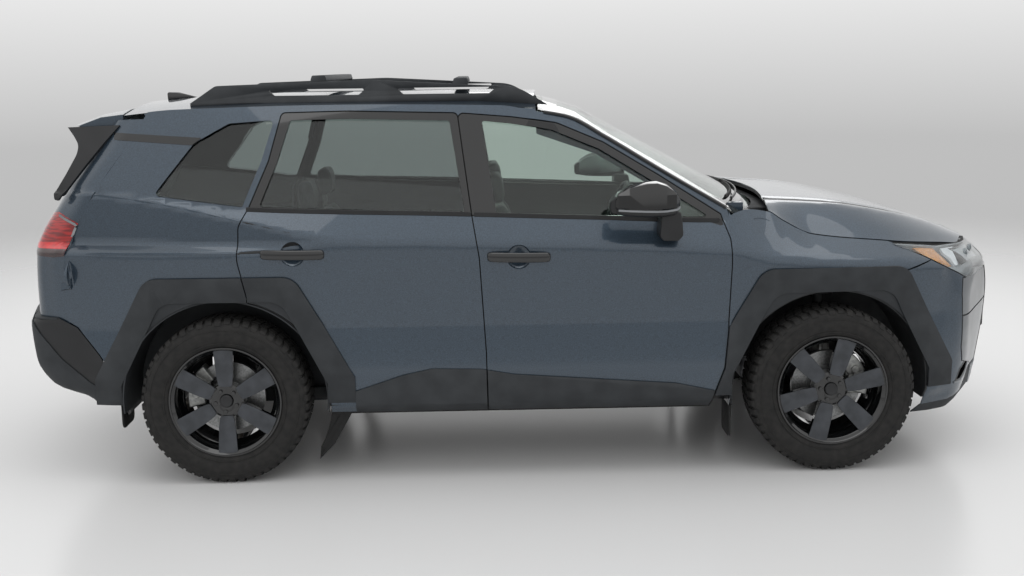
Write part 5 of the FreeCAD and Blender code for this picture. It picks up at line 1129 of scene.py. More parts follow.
tailgate_outline = offset(0, BELT, [(-560, -360, 40), (560, -360, 40), (694, -190, 60), (712, 20, 60),
                                    (650, 260), (590, 520), (-590, 520), (-650, 260), (-712, 20, 60),
                                    (-694, -190, 60)])
tail_window_outline = offset(0, BELT, [(-585, 110, 60), (585, 110, 60), (520, 395, 40), (-520, 395, 40)])
tail_lamp_outline = offset(REAR_AXLE, SHOULDER, [(-487, 94, 8), (-709, 206, 20), (-1005, 160), (-1005, 18),
                                                 (-718, 18), (-570, 36, 20)])
tailgate_loop = on_tail_loop([(y, min(z, 1598)) for y, z in rounded(tailgate_outline)], "rear")
tail_window_loop = on_tail_loop(rounded(tail_window_outline), "rear")
lamp_loop = on_tail_loop(rounded(tail_lamp_outline), "side")
skin("tailgate_skin", on_tail, [tailgate_loop], [tail_window_loop], paint, step=24, depth=4,
     body="tailgate")
tail_side = [(tail_s_at_station(seam, z) + 1, z) for seam, z in between(tail_seam, 14)]
for side, sign in SIDES:
    corner = [(0, 700)] + tail_side + [(0, 1600)]
    skin("tail_corner_skin_" + side, on_tail, [corner], [grown(tailgate_loop, SHUT), lamp_loop], paint, sign,
         16, 4)


# Mirrors, folded back along the windows as photographed: gloss cap over a satin base on a foot

# Station, lower edge, upper edge and outer face of the cap, then of the base
MIRROR_STATIONS = [(392, 1206, 1250, 1016), (404, 1204, 1276, 1030), (450, 1202, 1303, 1044),
                   (523, 1200, 1320, 1055), (566, 1199, 1323, 1056), (606, 1200, 1311, 1052),
                   (650, 1204, 1281, 1034), (667, 1212, 1258, 1010)]
BASE_STATIONS = [(400, 1184, 1206, 1022), (440, 1176, 1204, 1038), (523, 1172, 1202, 1050),
                 (600, 1172, 1202, 1047), (648, 1178, 1206, 1030), (662, 1190, 1214, 1008)]


def mirror_ring(x, low, high, out, sign):
    """Section of a mirror's cap at one station."""
    fold = min(1268, high - 10)
    ring = [(950, low), (out - 10, low), (out, low + 10), (out, fold), (out - 16, high - 6),
            (out - 44, high), (970, high), (950, high - 12)]
    return [(x, sign * y, z) for y, z in ring]


def base_ring(x, low, high, out, sign):
    """Section of a mirror's base at one station."""
    ring = [(952, low + 3), (out - 26, low), (out - 6, low + 8), (out, high), (954, high)]
    return [(x, sign * y, z) for y, z in ring]


def beside(sign):
    """Placer of side view outlines on one side of the car."""
    return lambda x, z, y: (x, sign * y, z)


for side, sign in SIDES:
    door = "door_front_" + side
    cap = loft("mirror_cap_" + side, [mirror_ring(*entry, sign) for entry in MIRROR_STATIONS], gloss_black,
               50, 7, 3, body=door)
    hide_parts("mirror_" + side)
    loft("mirror_base_" + side, [base_ring(*entry, sign) for entry in BASE_STATIONS], satin_black, 50, 5, 3,
         body=door)
    line = [(x, sign * (out + 1.5), low) for x, low, _, out in MIRROR_STATIONS[1:]]
    sweep("mirror_lamp_line_" + side, line, [(-3, -4), (3, -4), (3, 4), (-3, 4)], silver_trim, body=door)
    rim = rounded([(374, 1188, 12), (372, 1240, 16), (392, 1258, 14), (408, 1258), (408, 1186)], 8)
    prism("mirror_rim_" + side, rim, beside(sign), 948, 1012, satin_black, 6, 45, 3, body=door)
    glass_outline = rounded([(396, 1192, 20), (400, 1262, 20), (460, 1296, 60), (560, 1308, 60),
                             (630, 1284, 40), (640, 1200, 20)], 12)
    prism("mirror_glass_" + side, glass_outline, beside(sign), 944, 952, bright_reflector, 1, body=door)
    foot = rounded([(587, 1085, 20), (602, 1064, 18), (666, 1063, 18), (688, 1086, 20), (684, 1140),
                    (676, 1190, 12), (594, 1190, 12)], 10)
    prism("mirror_foot_" + side, foot, beside(sign), 870, 990, satin_black, 9, 45, 3, body=door)


# Door handles: a gloss bar over a round hand cup

HANDLE_HALF, HANDLE_FALL, CUP_DEPTH = 138, 0.018, 26
# Share of the half length, half height and stand of the bar's sections up to its middle
HANDLE_SECTIONS = [(-1, 12, 2), (-0.97, 19, 9), (-0.88, 22, 17), (-0.6, 22, 26), (-0.2, 22, 30)]


def handle_bar(name, centre, sign, body):
    """Bar that bows outwards and falls slightly forwards."""
    rings = []
    for share, half, out in HANDLE_SECTIONS + [(-share, *rest) for share, *rest in HANDLE_SECTIONS[::-1]]:
        x = centre[0] + HANDLE_HALF * share
        z = centre[1] - (x - centre[0]) * HANDLE_FALL
        y = soft_y(x, z)
        ring = [(out - 12, -half), (out - 3, -half), (out + 2, -half * 0.7), (out + 4, 0),
                (out + 2, half * 0.7), (out - 3, half), (out - 12, half)]
        rings.append([(x, sign * (y + a), z + b) for a, b in ring])
    loft(name, rings, gloss_black, 60, 0, 2, 2, body=body)


def cup_surface(centre):
    """Bowl sunk into the painted side about a centre."""
    def on_cup(x, z):
        away = min(math.hypot(x - centre[0], z - centre[1]) / CUP, 1)
        return (x, soft_y(x, z) - CUP_DEPTH * math.sqrt(max(1 - away ** 2, 0)) + 0.4, z)
    return on_cup


def hollow(node, cutters):
    """Balls or blocks, each (kind, centre, size, turn), taken out of a CAD node by one modifier."""
    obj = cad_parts[node]
    group, source, result = modifier_group("cut_" + node)
    cut = group.nodes.new("GeometryNodeMeshBoolean")
    cut.operation = "DIFFERENCE"
    group.links.new(source.outputs[0], cut.inputs["Mesh 1"])
    for kind, centre, size, turn in cutters:
        cutter, moved = group.nodes.new("GeometryNodeMesh" + kind), group.nodes.new("GeometryNodeTransform")
        if kind == "UVSphere":
            cutter.inputs["Segments"].default_value, cutter.inputs["Rings"].default_value = 40, 20
        moved.inputs["Translation"].default_value = obj.matrix_world.inverted() @ (Vector(centre) * MM)
        moved.inputs["Rotation"].default_value = (0, 0, turn)
        moved.inputs["Scale"].default_value = Vector(size) * MM
        group.links.new(cutter.outputs["Mesh"], moved.inputs["Geometry"])
        group.links.new(moved.outputs["Geometry"], cut.inputs["Mesh 2"])
    group.links.new(cut.outputs["Mesh"], result.inputs[0])
    modifier = obj.modifiers.new("cut_out", "NODES")
    modifier.node_group = group


for side, sign in SIDES:
    for end, centre in HANDLES.items():
        body = "door_%s_%s" % (end, side)
        handle_bar("door_handle_%s_%s" % (end, side), centre, sign, body)
        middle = (centre[0], sign * (skin_y(*centre) - 2), centre[1])
        hollow(body, [("UVSphere", middle, (CUP + 2, 32, CUP + 2), 0)])
        skin("handle_cup_%s_%s" % (end, side), cup_surface(centre), [cup_loop(centre)], [], paint, sign, 7,
             2, body=body)


# The shell's corners below the tail lamps, planed off just under their skins
hollow("body_sides", [("Cube", (-2061, sign * 881, 940), (170, 100, 170), sign * math.radians(20))
                      for side, sign in SIDES])


# Dark strip across the rear pillar

def seam_x(z):
    """Station of the seam between the side and the tail at a height."""
    return np.interp(z, [p[1] for p in tail_seam], [p[0] for p in tail_seam])


def on_quarter(x, z):
    """Painted side carried on round the tail behind its seam."""
    seam = seam_x(z)
    if x >= seam:
        return on_body(x, z)
    return on_tail(tail_s_at_station(x, z), z)


def raised(surface, out):
    """The same surface moved outwards by a small distance."""
    def moved(a, b):
        here, way = outward(surface, a, b)
        return tuple(here + way * out)
    return moved


strip_loop = rounded([(-1786, 1544, 2), (-1391, 1518, 2), (-1434, 1487, 2), (-1782, 1513, 2)], 14)
for side, sign in SIDES:
    skin("pillar_strip_" + side, raised(on_quarter, 1.5), [strip_loop], [], gloss_black, sign, 12, 4)


# Spoiler: crowned blade over the rear glass, and a matte fin down each side

roof_centre_z = body_line(0, rear={-700: 1638, -300: 1678, 200: 1700}, shut={0: 1702}, front={-1300: 1688})


def roof_z(x, y):
    """Height of the roof's outer face."""
    edge = glass_top_y(x)
    return glass_top_z(x) + (roof_centre_z(x) - glass_top_z(x)) * (1 - min(abs(y) / edge, 1.05) ** 2)


BLADE_HALF, BLADE_FRONT, BLADE_REAR = 628, -1756, -2016
blade, front = [], BLADE_FRONT
for k in range(-16, 17):
    y = BLADE_HALF * math.sin(math.pi * k / 32)
    rear = BLADE_REAR + 62 * abs(y / BLADE_HALF) ** 6
    top = min(roof_z(front, y), 1640) + 1
    blade.append([(front, y, top), ((front + rear) / 2, y, top * 0.45 + 1580 * 0.55 + 11),
                  (rear + 14, y, 1579), (rear, y, 1573), (rear + 16, y, 1562), (-1840, y, 1556),
                  (front, y, 1570)])
spoiler = loft("spoiler_blade", blade, paint, 40, 2, body="tailgate")
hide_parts("rear_spoiler")


def on_fin(x, z):
    """Face of a fin, which draws in behind the seam."""
    seam = seam_x(z)
    return (x, body_y(seam, z) - 0.16 * (seam - x), z)


fin_loop = rounded([(-1762, 1576), (-1822, 1508), (-1906, 1404), (-2018, 1258), (-2034, 1262, 8),
                    (-2036, 1292, 30), (-1990, 1370, 60), (-1948, 1452, 80), (-1942, 1492, 60),
                    (-1968, 1530, 60), (-2000, 1568)], 12)
for side, sign in SIDES:
    skin("spoiler_fin_" + side, on_fin, [fin_loop], [], satin_black, sign, 16, 16, body="tailgate")


# Tail lamps: red lens with a brighter band, a smoked foot and a bright line on top

lamp_foot = on_tail_loop(between([(-2400, 1050), (-1600, 1050), (-1600, 900), (-2400, 900)]), "side")
lamp_band = on_tail_loop(between([(-2300, 1051), (-1880, 1051), (-1898, 1076), (-2300, 1076)]), "side")
for side, sign in SIDES:
    lens = skin("tail_lens_" + side, raised(on_tail, 2), [lamp_loop], [lamp_foot, lamp_band], red_lens, sign,
                14, 7)
    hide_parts("tail_lamps")
    skin("tail_lens_band_" + side, raised(on_tail, 2.6), [lamp_loop, lamp_band], [], bright_red, sign, 14,
         7)
    skin("tail_lens_foot_" + side, raised(on_tail, 2), [lamp_loop, lamp_foot], [], smoked_lens, sign, 14, 7)
    line = [on_tail(tail_s_at_station(x, z), z)
            for x, z in between([(-1832, 1100), (-1930, 1148), (-2020, 1194)], 16)]
    sweep("tail_lamp_line_" + side, [(x - 2, sign * (y + 4), z) for x, y, z in line],
          [(-3, -5), (2, -5), (2, 5), (-3, 5)], silver_trim)


# Nose: one moulded cover from wheel opening to wheel opening, above a dull lower lip

NOSE_START = FRONT_AXLE + 500
# Height, corner set in from the nose, corner half width, cheek set in, cheek half width, middle set in
nose_levels = [(222, 315, 680, 240, 480, 170), (262, 305, 715, 150, 450, 85), (300, 298, 735, 110, 440, 60),
               (SILL + 100, 280, 745, 80, 420, 28), (SILL + 300, 286, 772, 40, 400, 8),
               (SILL + 445, 290, 780, 22, 380, 0), (SILL + 570, 262, 745, 42, 380, 14),
               (SHOULDER - 14, 250, 610, 150, 330, 120)]


def low_side(x, z):
    """Half width of the side ahead of the front wheel, tucked in below the sill's level."""
    return soft_y(x, max(z, SILL)) - 0.6 * max(SILL - z, 0)


def nose_points(height, corner, corner_width, cheek, cheek_width, middle):
    """Corners of the nose's plan curve at one height, from the middle to the side."""
    return [(NOSE - middle, 0), (NOSE - cheek, cheek_width), (NOSE - corner, corner_width),
            (NOSE_START, low_side(NOSE_START, height))]


on_nose, nose_s_at_width, nose_s_at_station = wrapped(nose_levels, nose_points)


def on_front(s, z):
    """Nose surface carried on along the side behind its last station."""
    beyond = abs(s) - nose_s_at_station(NOSE_START, z)
    if beyond <= 0:
        return on_nose(s, z)
    x = NOSE_START - beyond
    return (x, math.copysign(low_side(x, z), s), z)


def front_side(points, step=14):
    """Side view line (x, z) carried onto the nose."""
    return [(nose_s_at_station(x, z) if x > NOSE_START else nose_s_at_station(NOSE_START, z)
             + NOSE_START - x, z) for x, z in between(points, step)]


def front_view(points, step=14):
    """Front view line (y, z) carried onto the nose."""
    return [(nose_s_at_width(y, z), z) for y, z in between(points, step)]


def both_sides(half):
    """Closed outline from its left half, which runs from the middle's top to the middle's foot."""
    return half + [(-s, z) for s, z in half[::-1] if s > 0.5]


def mirror_loop(loop):
    """Outline on the other side of the car."""
    return [(-s, z) for s, z in loop[::-1]]


def rim(name, loop, surface, high, low, width, material, sign=1, bevel=0, body="body", slot=None):
    """Closed band that follows an outline on a surface and stands between two heights."""
    top, deep = raised(surface, high), raised(surface, low)
    points = []
    for (a, b), (c, d) in zip(grown(loop, 0), grown(loop, -width)):
        points += [top(a, b), top(c, d), deep(c, d), deep(a, b)]
    points = [(x, sign * y, z) for x, y, z in points]
    faces = sum((band(4, i, (i + 4) % len(points)) for i in range(0, len(points), 4)), [])
    obj = piece(name, points, faces, material, body, slot, 40)
    return soften(obj, bevel, 2) if bevel else obj


LAMP_INNER_Y, LAMP_CUT_Z, BEAM_Z = 436, 984.5, 938
lens_low = front_side([(1652, 1008), (1790, 957), (1972, 868), (2030, 834)])
lens_top = front_side([(1652, belt_z(1652) - 8), (1760, belt_z(1760) - 8), (1875, 985)])
lens_inner = front_view([(LAMP_INNER_Y, 842), (LAMP_INNER_Y, 984)])
lens_loop = (lens_low + lens_inner + [(s, LAMP_CUT_Z)
                                      for s in np.arange(lens_inner[-1][0] + 14, lens_top[-1][0], 14)])
lens_loop += lens_top[::-1][:-1]
lamp_gap = (front_side([(1636, 1019), (1790, 952), (1972, 863), (2031, 828)])
            + front_view([(LAMP_INNER_Y - 6, 836), (LAMP_INNER_Y - 6, 1040)])
            + [(lens_top[0][0] + 20, 1060)])
vent_loop = front_side([(1985, 362), (2016, 366), (2046, 394), (2072, 438), (2072, 456), (2047, 452),
                        (2008, 416)], 8)
grille_half = front_view([(0, 850), (468, 850), (455, 640), (500, 412), (0, 412)])
grille_hole = both_sides(grille_half)
slot_half = front_view([(0, 938), (392, 932), (380, 872), (0, 866)])
front_arch = front_side([(FRONT_AXLE + ARCH_RADIUS * math.cos(a), HUB_HEIGHT + ARCH_RADIUS * math.sin(a))
                         for a in (math.pi * k / 90 for k in range(36))]
                        + [(1500, 780), (1500, 100), (1830, 100)])
paint_low = front_side([(1562, 262), (1830, 262), (1960, 272), (2035, 300), (2085, 398)]) + [(0, 402)]
side_piece = front_view([(775, 846), (476, 852), (462, 640), (507, 414), (600, 408), (742, 452), (762, 520),
                         (772, 640), (782, 770)])
cover_half = [(0, 984)] + front_side([(1842, 984), (1836, 943), (1640, 879), (1562, 760), (1562, 270)])
cover_half += paint_low
cover = skin("front_cover_skin", on_front, [both_sides(cover_half)],
             [lamp_gap, mirror_loop(lamp_gap), vent_loop, mirror_loop(vent_loop), grille_hole,
              both_sides(slot_half), side_piece, mirror_loop(side_piece), front_arch,
              mirror_loop(front_arch)], paint, step=18, depth=4)
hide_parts("front_bumper")
lip_half = ([(0, 400)] + [(s, z - 1.5) for s, z in paint_low[::-1][1:]]
            + front_side([(1562, 222), (1960, 222)]) + [(0, 222)])
skin("front_lip_skin", on_front, [both_sides(lip_half)],
     [front_arch, mirror_loop(front_arch), vent_loop, mirror_loop(vent_loop)], cladding, step=18, depth=5)
skin("upper_slot", raised(on_nose, -14), [both_sides(slot_half)], [], gloss_black, step=18)
rim("upper_slot_frame", both_sides(slot_half), on_nose, 1, -18, 7, gloss_black)
slat = [on_nose(nose_s_at_width(y, 902), 902) for y in range(-384, 385, 24)]
sweep("upper_slot_slat", slat, [(-14, -5), (-2, -5), (2, 0), (-2, 5), (-14, 5)], silver_trim)

for side, sign in SIDES:
    upper = front_view([(800, 672), (400, 714), (400, 900), (800, 900)])
    lower = front_view([(800, 664), (400, 706), (400, 380), (800, 380)])
    for name, limit in (("upper", upper), ("lower", lower)):
        skin("grille_side_%s_%s" % (name, side), raised(on_nose, 3), [grown(side_piece, -3), limit], [],
             dark_silver, sign, 14, 10)
    skin("grille_side_back_" + side, raised(on_nose, -8), [grown(side_piece, 4)], [], gloss_black, sign, 20,
         4)
    skin("fog_vent_" + side, raised(on_front, -28), [grown(vent_loop, 10)], [], gloss_black, sign, 12, 3)
    rim("fog_vent_frame_" + side, grown(vent_loop, 1), on_front, 1.5, -28, 5, gloss_black, sign)
    edge = [on_front(s, z) for s, z in front_side([(1978, 356), (2018, 358), (2052, 388), (2080, 436)], 10)]
    sweep("fog_vent_trim_" + side, [(x, sign * (y + 2), z) for x, y, z in edge],
          [(-3, -5), (3, -4), (3, 4), (-3, 5)], silver_trim)

mesh_back = skin("grille_backing", raised(on_nose, -48), [grown(grille_hole, 6)], [], satin_black, step=30,
                 depth=4)
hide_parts("front_grille")
rim("grille_frame", grille_hole, on_nose, 5, -44, 15, gloss_black, bevel=2)
for k, z in enumerate(range(434, 846, 25)):
    half = float(np.interp(z, [412, 640, 850], [500, 455, 468])) - 9
    bar = [on_nose(nose_s_at_width(half * t / 16, z), z) for t in range(-16, 17)]
    sweep("grille_bar_%02d" % k, [(x - 12, y, z) for x, y, z in bar],
          [(-22, -3), (4, -5), (10, -2), (10, 2), (4, 5), (-22, 3)], gloss_black)
for k, y in enumerate(range(-420, 421, 56)):
    rib = [on_nose(nose_s_at_width(y, z), z) for z in range(418, 848, 18)]
    sweep("grille_rib_%02d" % k, [(x - 20, y, z) for x, y, z in rib], [(-3, -18), (3, -18), (3, 6), (-3, 6)],
          gloss_black, up=(1, 0, 0))

guard_loop = front_view([(-560, 304), (560, 304), (596, 396), (-596, 396)])
guard_slots = [rounded([(y - 55, 332, 14), (y + 55, 332, 14), (y + 62, 372, 14), (y - 48, 372, 14)], 10)
               for y in (120, 300, 470)]
guard_slots = [[(nose_s_at_width(y, z), z) for y, z in loop] for loop in guard_slots]
guard = skin("guard_plate", raised(on_nose, 6), [guard_loop],
             guard_slots + [mirror_loop(g) for g in guard_slots], silver_trim, step=18, depth=7)
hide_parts("front_guard")
plate = rounded([(-260, 520, 10), (260, 520, 10), (260, 630, 10), (-260, 630, 10)], 30)


def at_nose(y, z, ahead):
    """Point ahead of the nose's middle."""
    return (NOSE - 2 + ahead, y, z)


prism("front_plate_holder", grown(plate, 8), at_nose, -26, 3, satin_black, 2)
prism("front_plate", plate, at_nose, 2, 5, blank_plate, 0.8)


# Headlamps: clear lens over a silver housing with light guides, an amber marker and a lower bright step

amber_loop = front_side([(1757, 991), (1861, 985), (1880, 960), (1934, 903), (1891, 903), (1817, 948)], 10)
guide_loop = front_side([(1908, 986), (1950, 1002), (1990, 1004), (1992, 984), (1972, 968), (1978, 908),
                         (1960, 906), (1940, 940), (1912, 962)], 10)
for side, sign in SIDES:
    lens = skin("headlamp_lens_" + side, raised(on_front, 1), [lens_loop], [], lamp_glass, sign, 14, 3)
    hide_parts("headlamps")
    skin("headlamp_housing_" + side, raised(on_front, -46), [grown(lens_loop, 3)], [], lamp_housing, sign,
         16, 3)
    rim("headlamp_wall_" + side, grown(lens_loop, 1), on_front, -3, -46, 4, lamp_housing, sign)
    # Black band flush round each lens: painted shade, the dark of the gap between the lamp and the cover
    rim("headlamp_seal_" + side, grown(lens_loop, 4), on_front, 0, -12, 4, seal_rubber, sign)
    skin("amber_marker_" + side, raised(on_front, -10), [amber_loop, grown(lens_loop, -6)], [], amber_lens,
         sign, 10, 8)
    skin("light_guide_" + side, raised(on_front, -12), [guide_loop, grown(lens_loop, -6)], [], light_guide,
         sign, 10, 12)
    box_loop = front_view([(690, 915), (690, 968), (470, 972), (470, 905)], 12)
    skin("beam_box_" + side, raised(on_front, -14), [box_loop, grown(lens_loop, -6)], [], lamp_housing, sign,
         12, 16)
    rim("beam_box_edge_" + side, grown(box_loop, 5), on_front, -10, -40, 4, gloss_black, sign,
        slot="lamp_clear")
    for k, y in enumerate((640, 560, 500)):
        spot = Vector(on_front(nose_s_at_width(y, BEAM_Z), BEAM_Z)) + Vector((-10, 0, 0))
        rings = [[(spot.x + d, sign * spot.y + a, spot.z + b) for a, b in circle(r, 24)]
                 for d, r in ((-8, 20), (2, 22), (4, 16), (6, 8))]
        loft("beam_lens_%d_%s" % (k, side), rings, lamp_glass, 50)


# Rear bumper: dull cover in two levels with a ledge on top, reflectors, and the blank plate above

BUMPER_START = REAR_AXLE - 470
# Height, corner set in from the tail, corner half width, middle set in
bumper_levels = [(SILL + 62, 400, HALF_WIDTH - 165, 190), (SILL + 142, 205, HALF_WIDTH - 149, 70),
                 (SILL + 252, 140, HALF_WIDTH - 145, 14), (SILL + 415, 128, HALF_WIDTH - 143, 0),
                 (SILL + 446, 142, HALF_WIDTH - 147, 12)]


def bumper_points(height, corner, width, middle):
    """Corners of the rear bumper's plan curve at one height, from the middle to the side."""
    start = BUMPER_START
    return [(TAIL + middle, 0), (TAIL + middle + 30, width * 0.55), (TAIL + corner, width),
            (TAIL + corner + 40, width + 30), (start - 110, soft_y(start - 110, height) + 4),
            (start, soft_y(start, height) + 4)]


on_bumper, bumper_s_at_width, bumper_s_at_station = wrapped(bumper_levels, bumper_points)


def bumper_side(points, step=14):
    """Side view line (x, z) carried onto the rear bumper."""
    return [(bumper_s_at_station(x, z) if x < BUMPER_START else bumper_s_at_station(BUMPER_START, z)
             + x - BUMPER_START, z) for x, z in between(points, step)]


BUMPER_TOP, BUMPER_FOOT = SILL + 445, SILL + 62
rear_seam = offset(REAR_AXLE, SILL, [(-725, 445), (-642, 403), (-548, 283), (-453, 128), (-453, 62)])
rear_fold = offset(REAR_AXLE, SILL, [(-867, 445), (-813, 372), (-723, 262), (-595, 160), (-462, 92)])
rear_arch = bumper_side([(REAR_AXLE - ARCH_RADIUS * math.cos(a), HUB_HEIGHT + ARCH_RADIUS * math.sin(a))
                         for a in (math.pi * k / 90 for k in range(-4, 30))] + [(-1500, 700), (-1500, 200)])
main_half = ([(0, BUMPER_TOP)] + bumper_side(rear_fold) + bumper_side([(REAR_AXLE - 453, BUMPER_FOOT)])
             + [(0, BUMPER_FOOT)])
main = skin("bumper_main_skin", raised(on_bumper, 5), [both_sides(main_half)],
            [rear_arch, mirror_loop(rear_arch)], cladding, step=20, depth=10)
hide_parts("rear_bumper")
for side, sign in SIDES:
    upper_loop = bumper_side(rear_seam) + bumper_side(rear_fold)[::-1]
    skin("bumper_corner_skin_" + side, on_bumper, [upper_loop], [rear_arch], satin_black, sign, 16, 4,
         slot="cladding")
    reflector = rounded([(560, 500, 8), (690, 505, 8), (690, 525, 8), (560, 525, 8)], 12)
    reflector = [(bumper_s_at_width(y, z), z) for y, z in reflector]
    skin("rear_reflector_" + side, raised(on_bumper, 8), [reflector], [], red_lens, sign, 12, 4)
reach = bumper_s_at_station(REAR_AXLE - 730, BUMPER_TOP)
ledge_path = [on_bumper(reach * t / 60, BUMPER_TOP) for t in range(-60, 61)]
sweep("bumper_ledge", ledge_path, [(-3, -7), (80, -7), (80, 0), (4, 2), (-3, -2)], cladding)
PLATE_Z = 900
plate_x = on_tail(0, PLATE_Z)[0]
tail_plate = rounded([(-260, 845, 10), (260, 845, 10), (260, 955, 10), (-260, 955, 10)], 30)


def at_tail(y, z, behind):
    """Point behind the tailgate's middle."""
    return (plate_x - behind, y, z)


prism("rear_plate_recess", grown(tail_plate, 26), at_tail, -14, 5, satin_black, 3, body="tailgate")
prism("rear_plate", tail_plate, at_tail, 4, 8, blank_plate, 0.8, body="tailgate")


# Windscreen: black printed border, cowl panel and wipers
# Each row: station and height of the side edge, then how far the middle leads and rises

screen_rows = [(FRONT_AXLE - 431, BELT + 28, 205, 0), (FRONT_AXLE - 472, BELT + 52, 200, 0),
               (FRONT_AXLE - 760, BELT + 222, 172, 0), (FRONT_AXLE - 1003, BELT + 370, 132, 2),
               (FRONT_AXLE - 1159, BELT + 455, 84, 30), (FRONT_AXLE - 1292, BELT + 481, 18, 60)]
screen_places = [0.0]
for before, after in zip(screen_rows, screen_rows[1:]):
    screen_places.append(screen_places[-1] + math.hypot(after[0] - before[0], after[1] - before[1]))
screen_lines = [line_through([(at, row[n]) for at, row in zip(screen_places, screen_rows)])
                for n in range(4)]
SCREEN_HALF = 680


def on_screen(u, v):
    """Outer face of the windscreen; v runs up its side edge and u across it."""
    x, z, lead, rise = (line(v) for line in screen_lines)
    share = u / SCREEN_HALF
    full = 1 - min(share * share, 1.2)
    return (x + lead * full, house_y(x, z) * share, z + rise * full)


SCREEN_TOP = screen_places[-1]
border = rounded([(-SCREEN_HALF + 3, 50, 30), (SCREEN_HALF - 3, 50, 30),
                  (SCREEN_HALF - 3, SCREEN_TOP - 18, 40), (-SCREEN_HALF + 3, SCREEN_TOP - 18, 40)], 20)
clear_part = rounded([(-SCREEN_HALF + 52, 105, 60), (SCREEN_HALF - 52, 105, 60),
                      (SCREEN_HALF - 52, SCREEN_TOP - 66, 60), (-SCREEN_HALF + 52, SCREEN_TOP - 66, 60)],
                     20)
skin("screen_border", raised(on_screen, 1.5), [border], [clear_part], gloss_black, step=24, depth=2.5)
for side, sign in SIDES:
    edge = [raised(on_screen, 2)(sign * (SCREEN_HALF - 4), v) for v in np.arange(52, SCREEN_TOP - 6, 22)]
    section = [(-16, -6), (12, -6), (12, 2), (4, 6), (-16, 6)]
    sweep("screen_moulding_" + side, edge, [(a * sign, b) for a, b in section], satin_black)


def on_cowl(t, y):
    """Panel that falls from the bonnet's rear edge to the foot of the windscreen."""
    share = y / 640
    front_x = FRONT_AXLE - 222 - 88 * share ** 2
    wide = share * (belt_y(front_x) - 12)
    rear = Vector(on_screen(share * (SCREEN_HALF - 8), 62))
    ahead = Vector((front_x, wide, on_bonnet(front_x, wide)[2] - 52))
    here = rear.lerp(ahead, t / 100)
    return (here.x, here.y, here.z - 8 * math.sin(math.pi * min(max(t / 100, 0), 1)))


cowl_loop = rounded([(0, -640), (100, -640), (100, 640), (0, 640)], 20)
skin("cowl_panel", on_cowl, [cowl_loop], [], satin_black, step=20, depth=4)
for name, start, end in (("right", -560, -30), ("left", 60, 610)):
    arm = [raised(on_screen, 20)(u, 76 + 26 * (u - start) / (end - start)) for u in range(start, end, 24)]
    sweep("wiper_arm_" + name, arm, [(-5, -3), (5, -3), (3, 5), (-3, 5)], satin_black,
          scales=[1.3 - 0.7 * i / len(arm) for i in range(len(arm))])
    blade_line = [raised(on_screen, 9)(u, 104 + 10 * (u - start) / (end - start))
                  for u in range(start + 20, end + 40, 24)]
    sweep("wiper_blade_" + name, blade_line, [(-7, -7), (7, -7), (3, 6), (-3, 6)], seal_rubber)


# Rubber seals behind the shut lines of the doors, and liners round the rear wheels

for side, sign in SIDES:
    for end, outline in (("front", front_door_loop), ("rear", rear_door_loop)):
        track = []
        for x, z in grown(outline, 14):
            reach = math.hypot(x - REAR_AXLE, z - HUB_HEIGHT)
            away = max(ARCH_RADIUS + 34, reach) / reach
            track.append((REAR_AXLE + (x - REAR_AXLE) * away, HUB_HEIGHT + (z - HUB_HEIGHT) * away))
        rim("door_seal_%s_%s" % (end, side), track, on_body, -9, -15, 25, seal_rubber, sign)

for side, sign in SIDES:
    arc = []
    for k in range(-6, 187, 4):
        turn = math.radians(k)
        ring = [(REAR_AXLE + r * math.cos(turn), sign * y, HUB_HEIGHT + r * math.sin(turn))
                for y, r in ((560, 452), (895, 452), (895, 446), (560, 446))]
        arc.append(ring)
    loft("rear_wheel_liner_" + side, arc, cladding, 40)
    wall = [(REAR_AXLE + 449 * math.cos(math.radians(k)), HUB_HEIGHT + 449 * math.sin(math.radians(k)))
            for k in range(-5, 186, 4)]
    hub_hole = [(REAR_AXLE + a, HUB_HEIGHT + b) for a, b in circle(190, 40)]
    skin("rear_wheel_wall_" + side, lambda x, z: (x, 578, z), [wall], [hub_hole], cladding, sign, 40, 5)


# Seats: crowned pads with side bolsters, blown up by cloth pressure, seams pressed in afterwards

# Cloth frames and pressure; points along a pad's edge, the power that rounds its corners, where its
# bolsters stand and how wide they are, its crown and how far its sides are pulled in
PAD_FRAMES, PRESSURE, TRAVEL = 20, 4, 12
PAD_GRID, ROUND_POWER, BOLSTER_AT, BOLSTER_WIDE, CROWN, PULLED = 24, 6, 0.82, 0.26, 0.2, 0.03
SEAM_WIDTH, SEAM_DEPTH = 6, 6


def pad_mesh(name, half, bolster, foot):
    """Rounded closed form, crowned on top, its sides pulled in between the corners, flat below."""
    points, faces = [], []
    count = PAD_GRID
    axes = [Vector((1, 0, 0)), Vector((0, 1, 0)), Vector((0, 0, 1))]
    for along, across in zip(axes, axes[1:] + axes[:1]):
        for face_sign in (1, -1):
            out = along.cross(across) * face_sign
            start = len(points)
            for i in range(count + 1):
                for j in range(count + 1):
                    spot = out + along * (2 * i / count - 1) + across * (2 * j / count - 1)
                    size = sum(abs(c) ** ROUND_POWER for c in spot) ** (1 / ROUND_POWER)
                    u, v, w = spot / size
                    rise = bolster * max(0.0, 1 - abs(abs(v) - BOLSTER_AT) / BOLSTER_WIDE) if w > 0 else 0
                    crown = (1 - CROWN * u * u) if w > 0 else foot
                    points.append((half[0] * u * (1 - PULLED * (1 - v * v)),
                                   half[1] * v * (1 - PULLED * (1 - u * u)),
                                   half[2] * w * crown + rise * w))
            for i in range(count):
                for j in range(count):
                    a = start + i * (count + 1) + j
                    faces.append([a, a + count + 1, a + count + 2, a + 1])
    mesh = bpy.data.meshes.new(name)
    mesh.from_pydata([tuple(c * MM for c in p) for p in points], [], faces)
    welded(mesh, 5 * WELD_METRES)
    return mesh


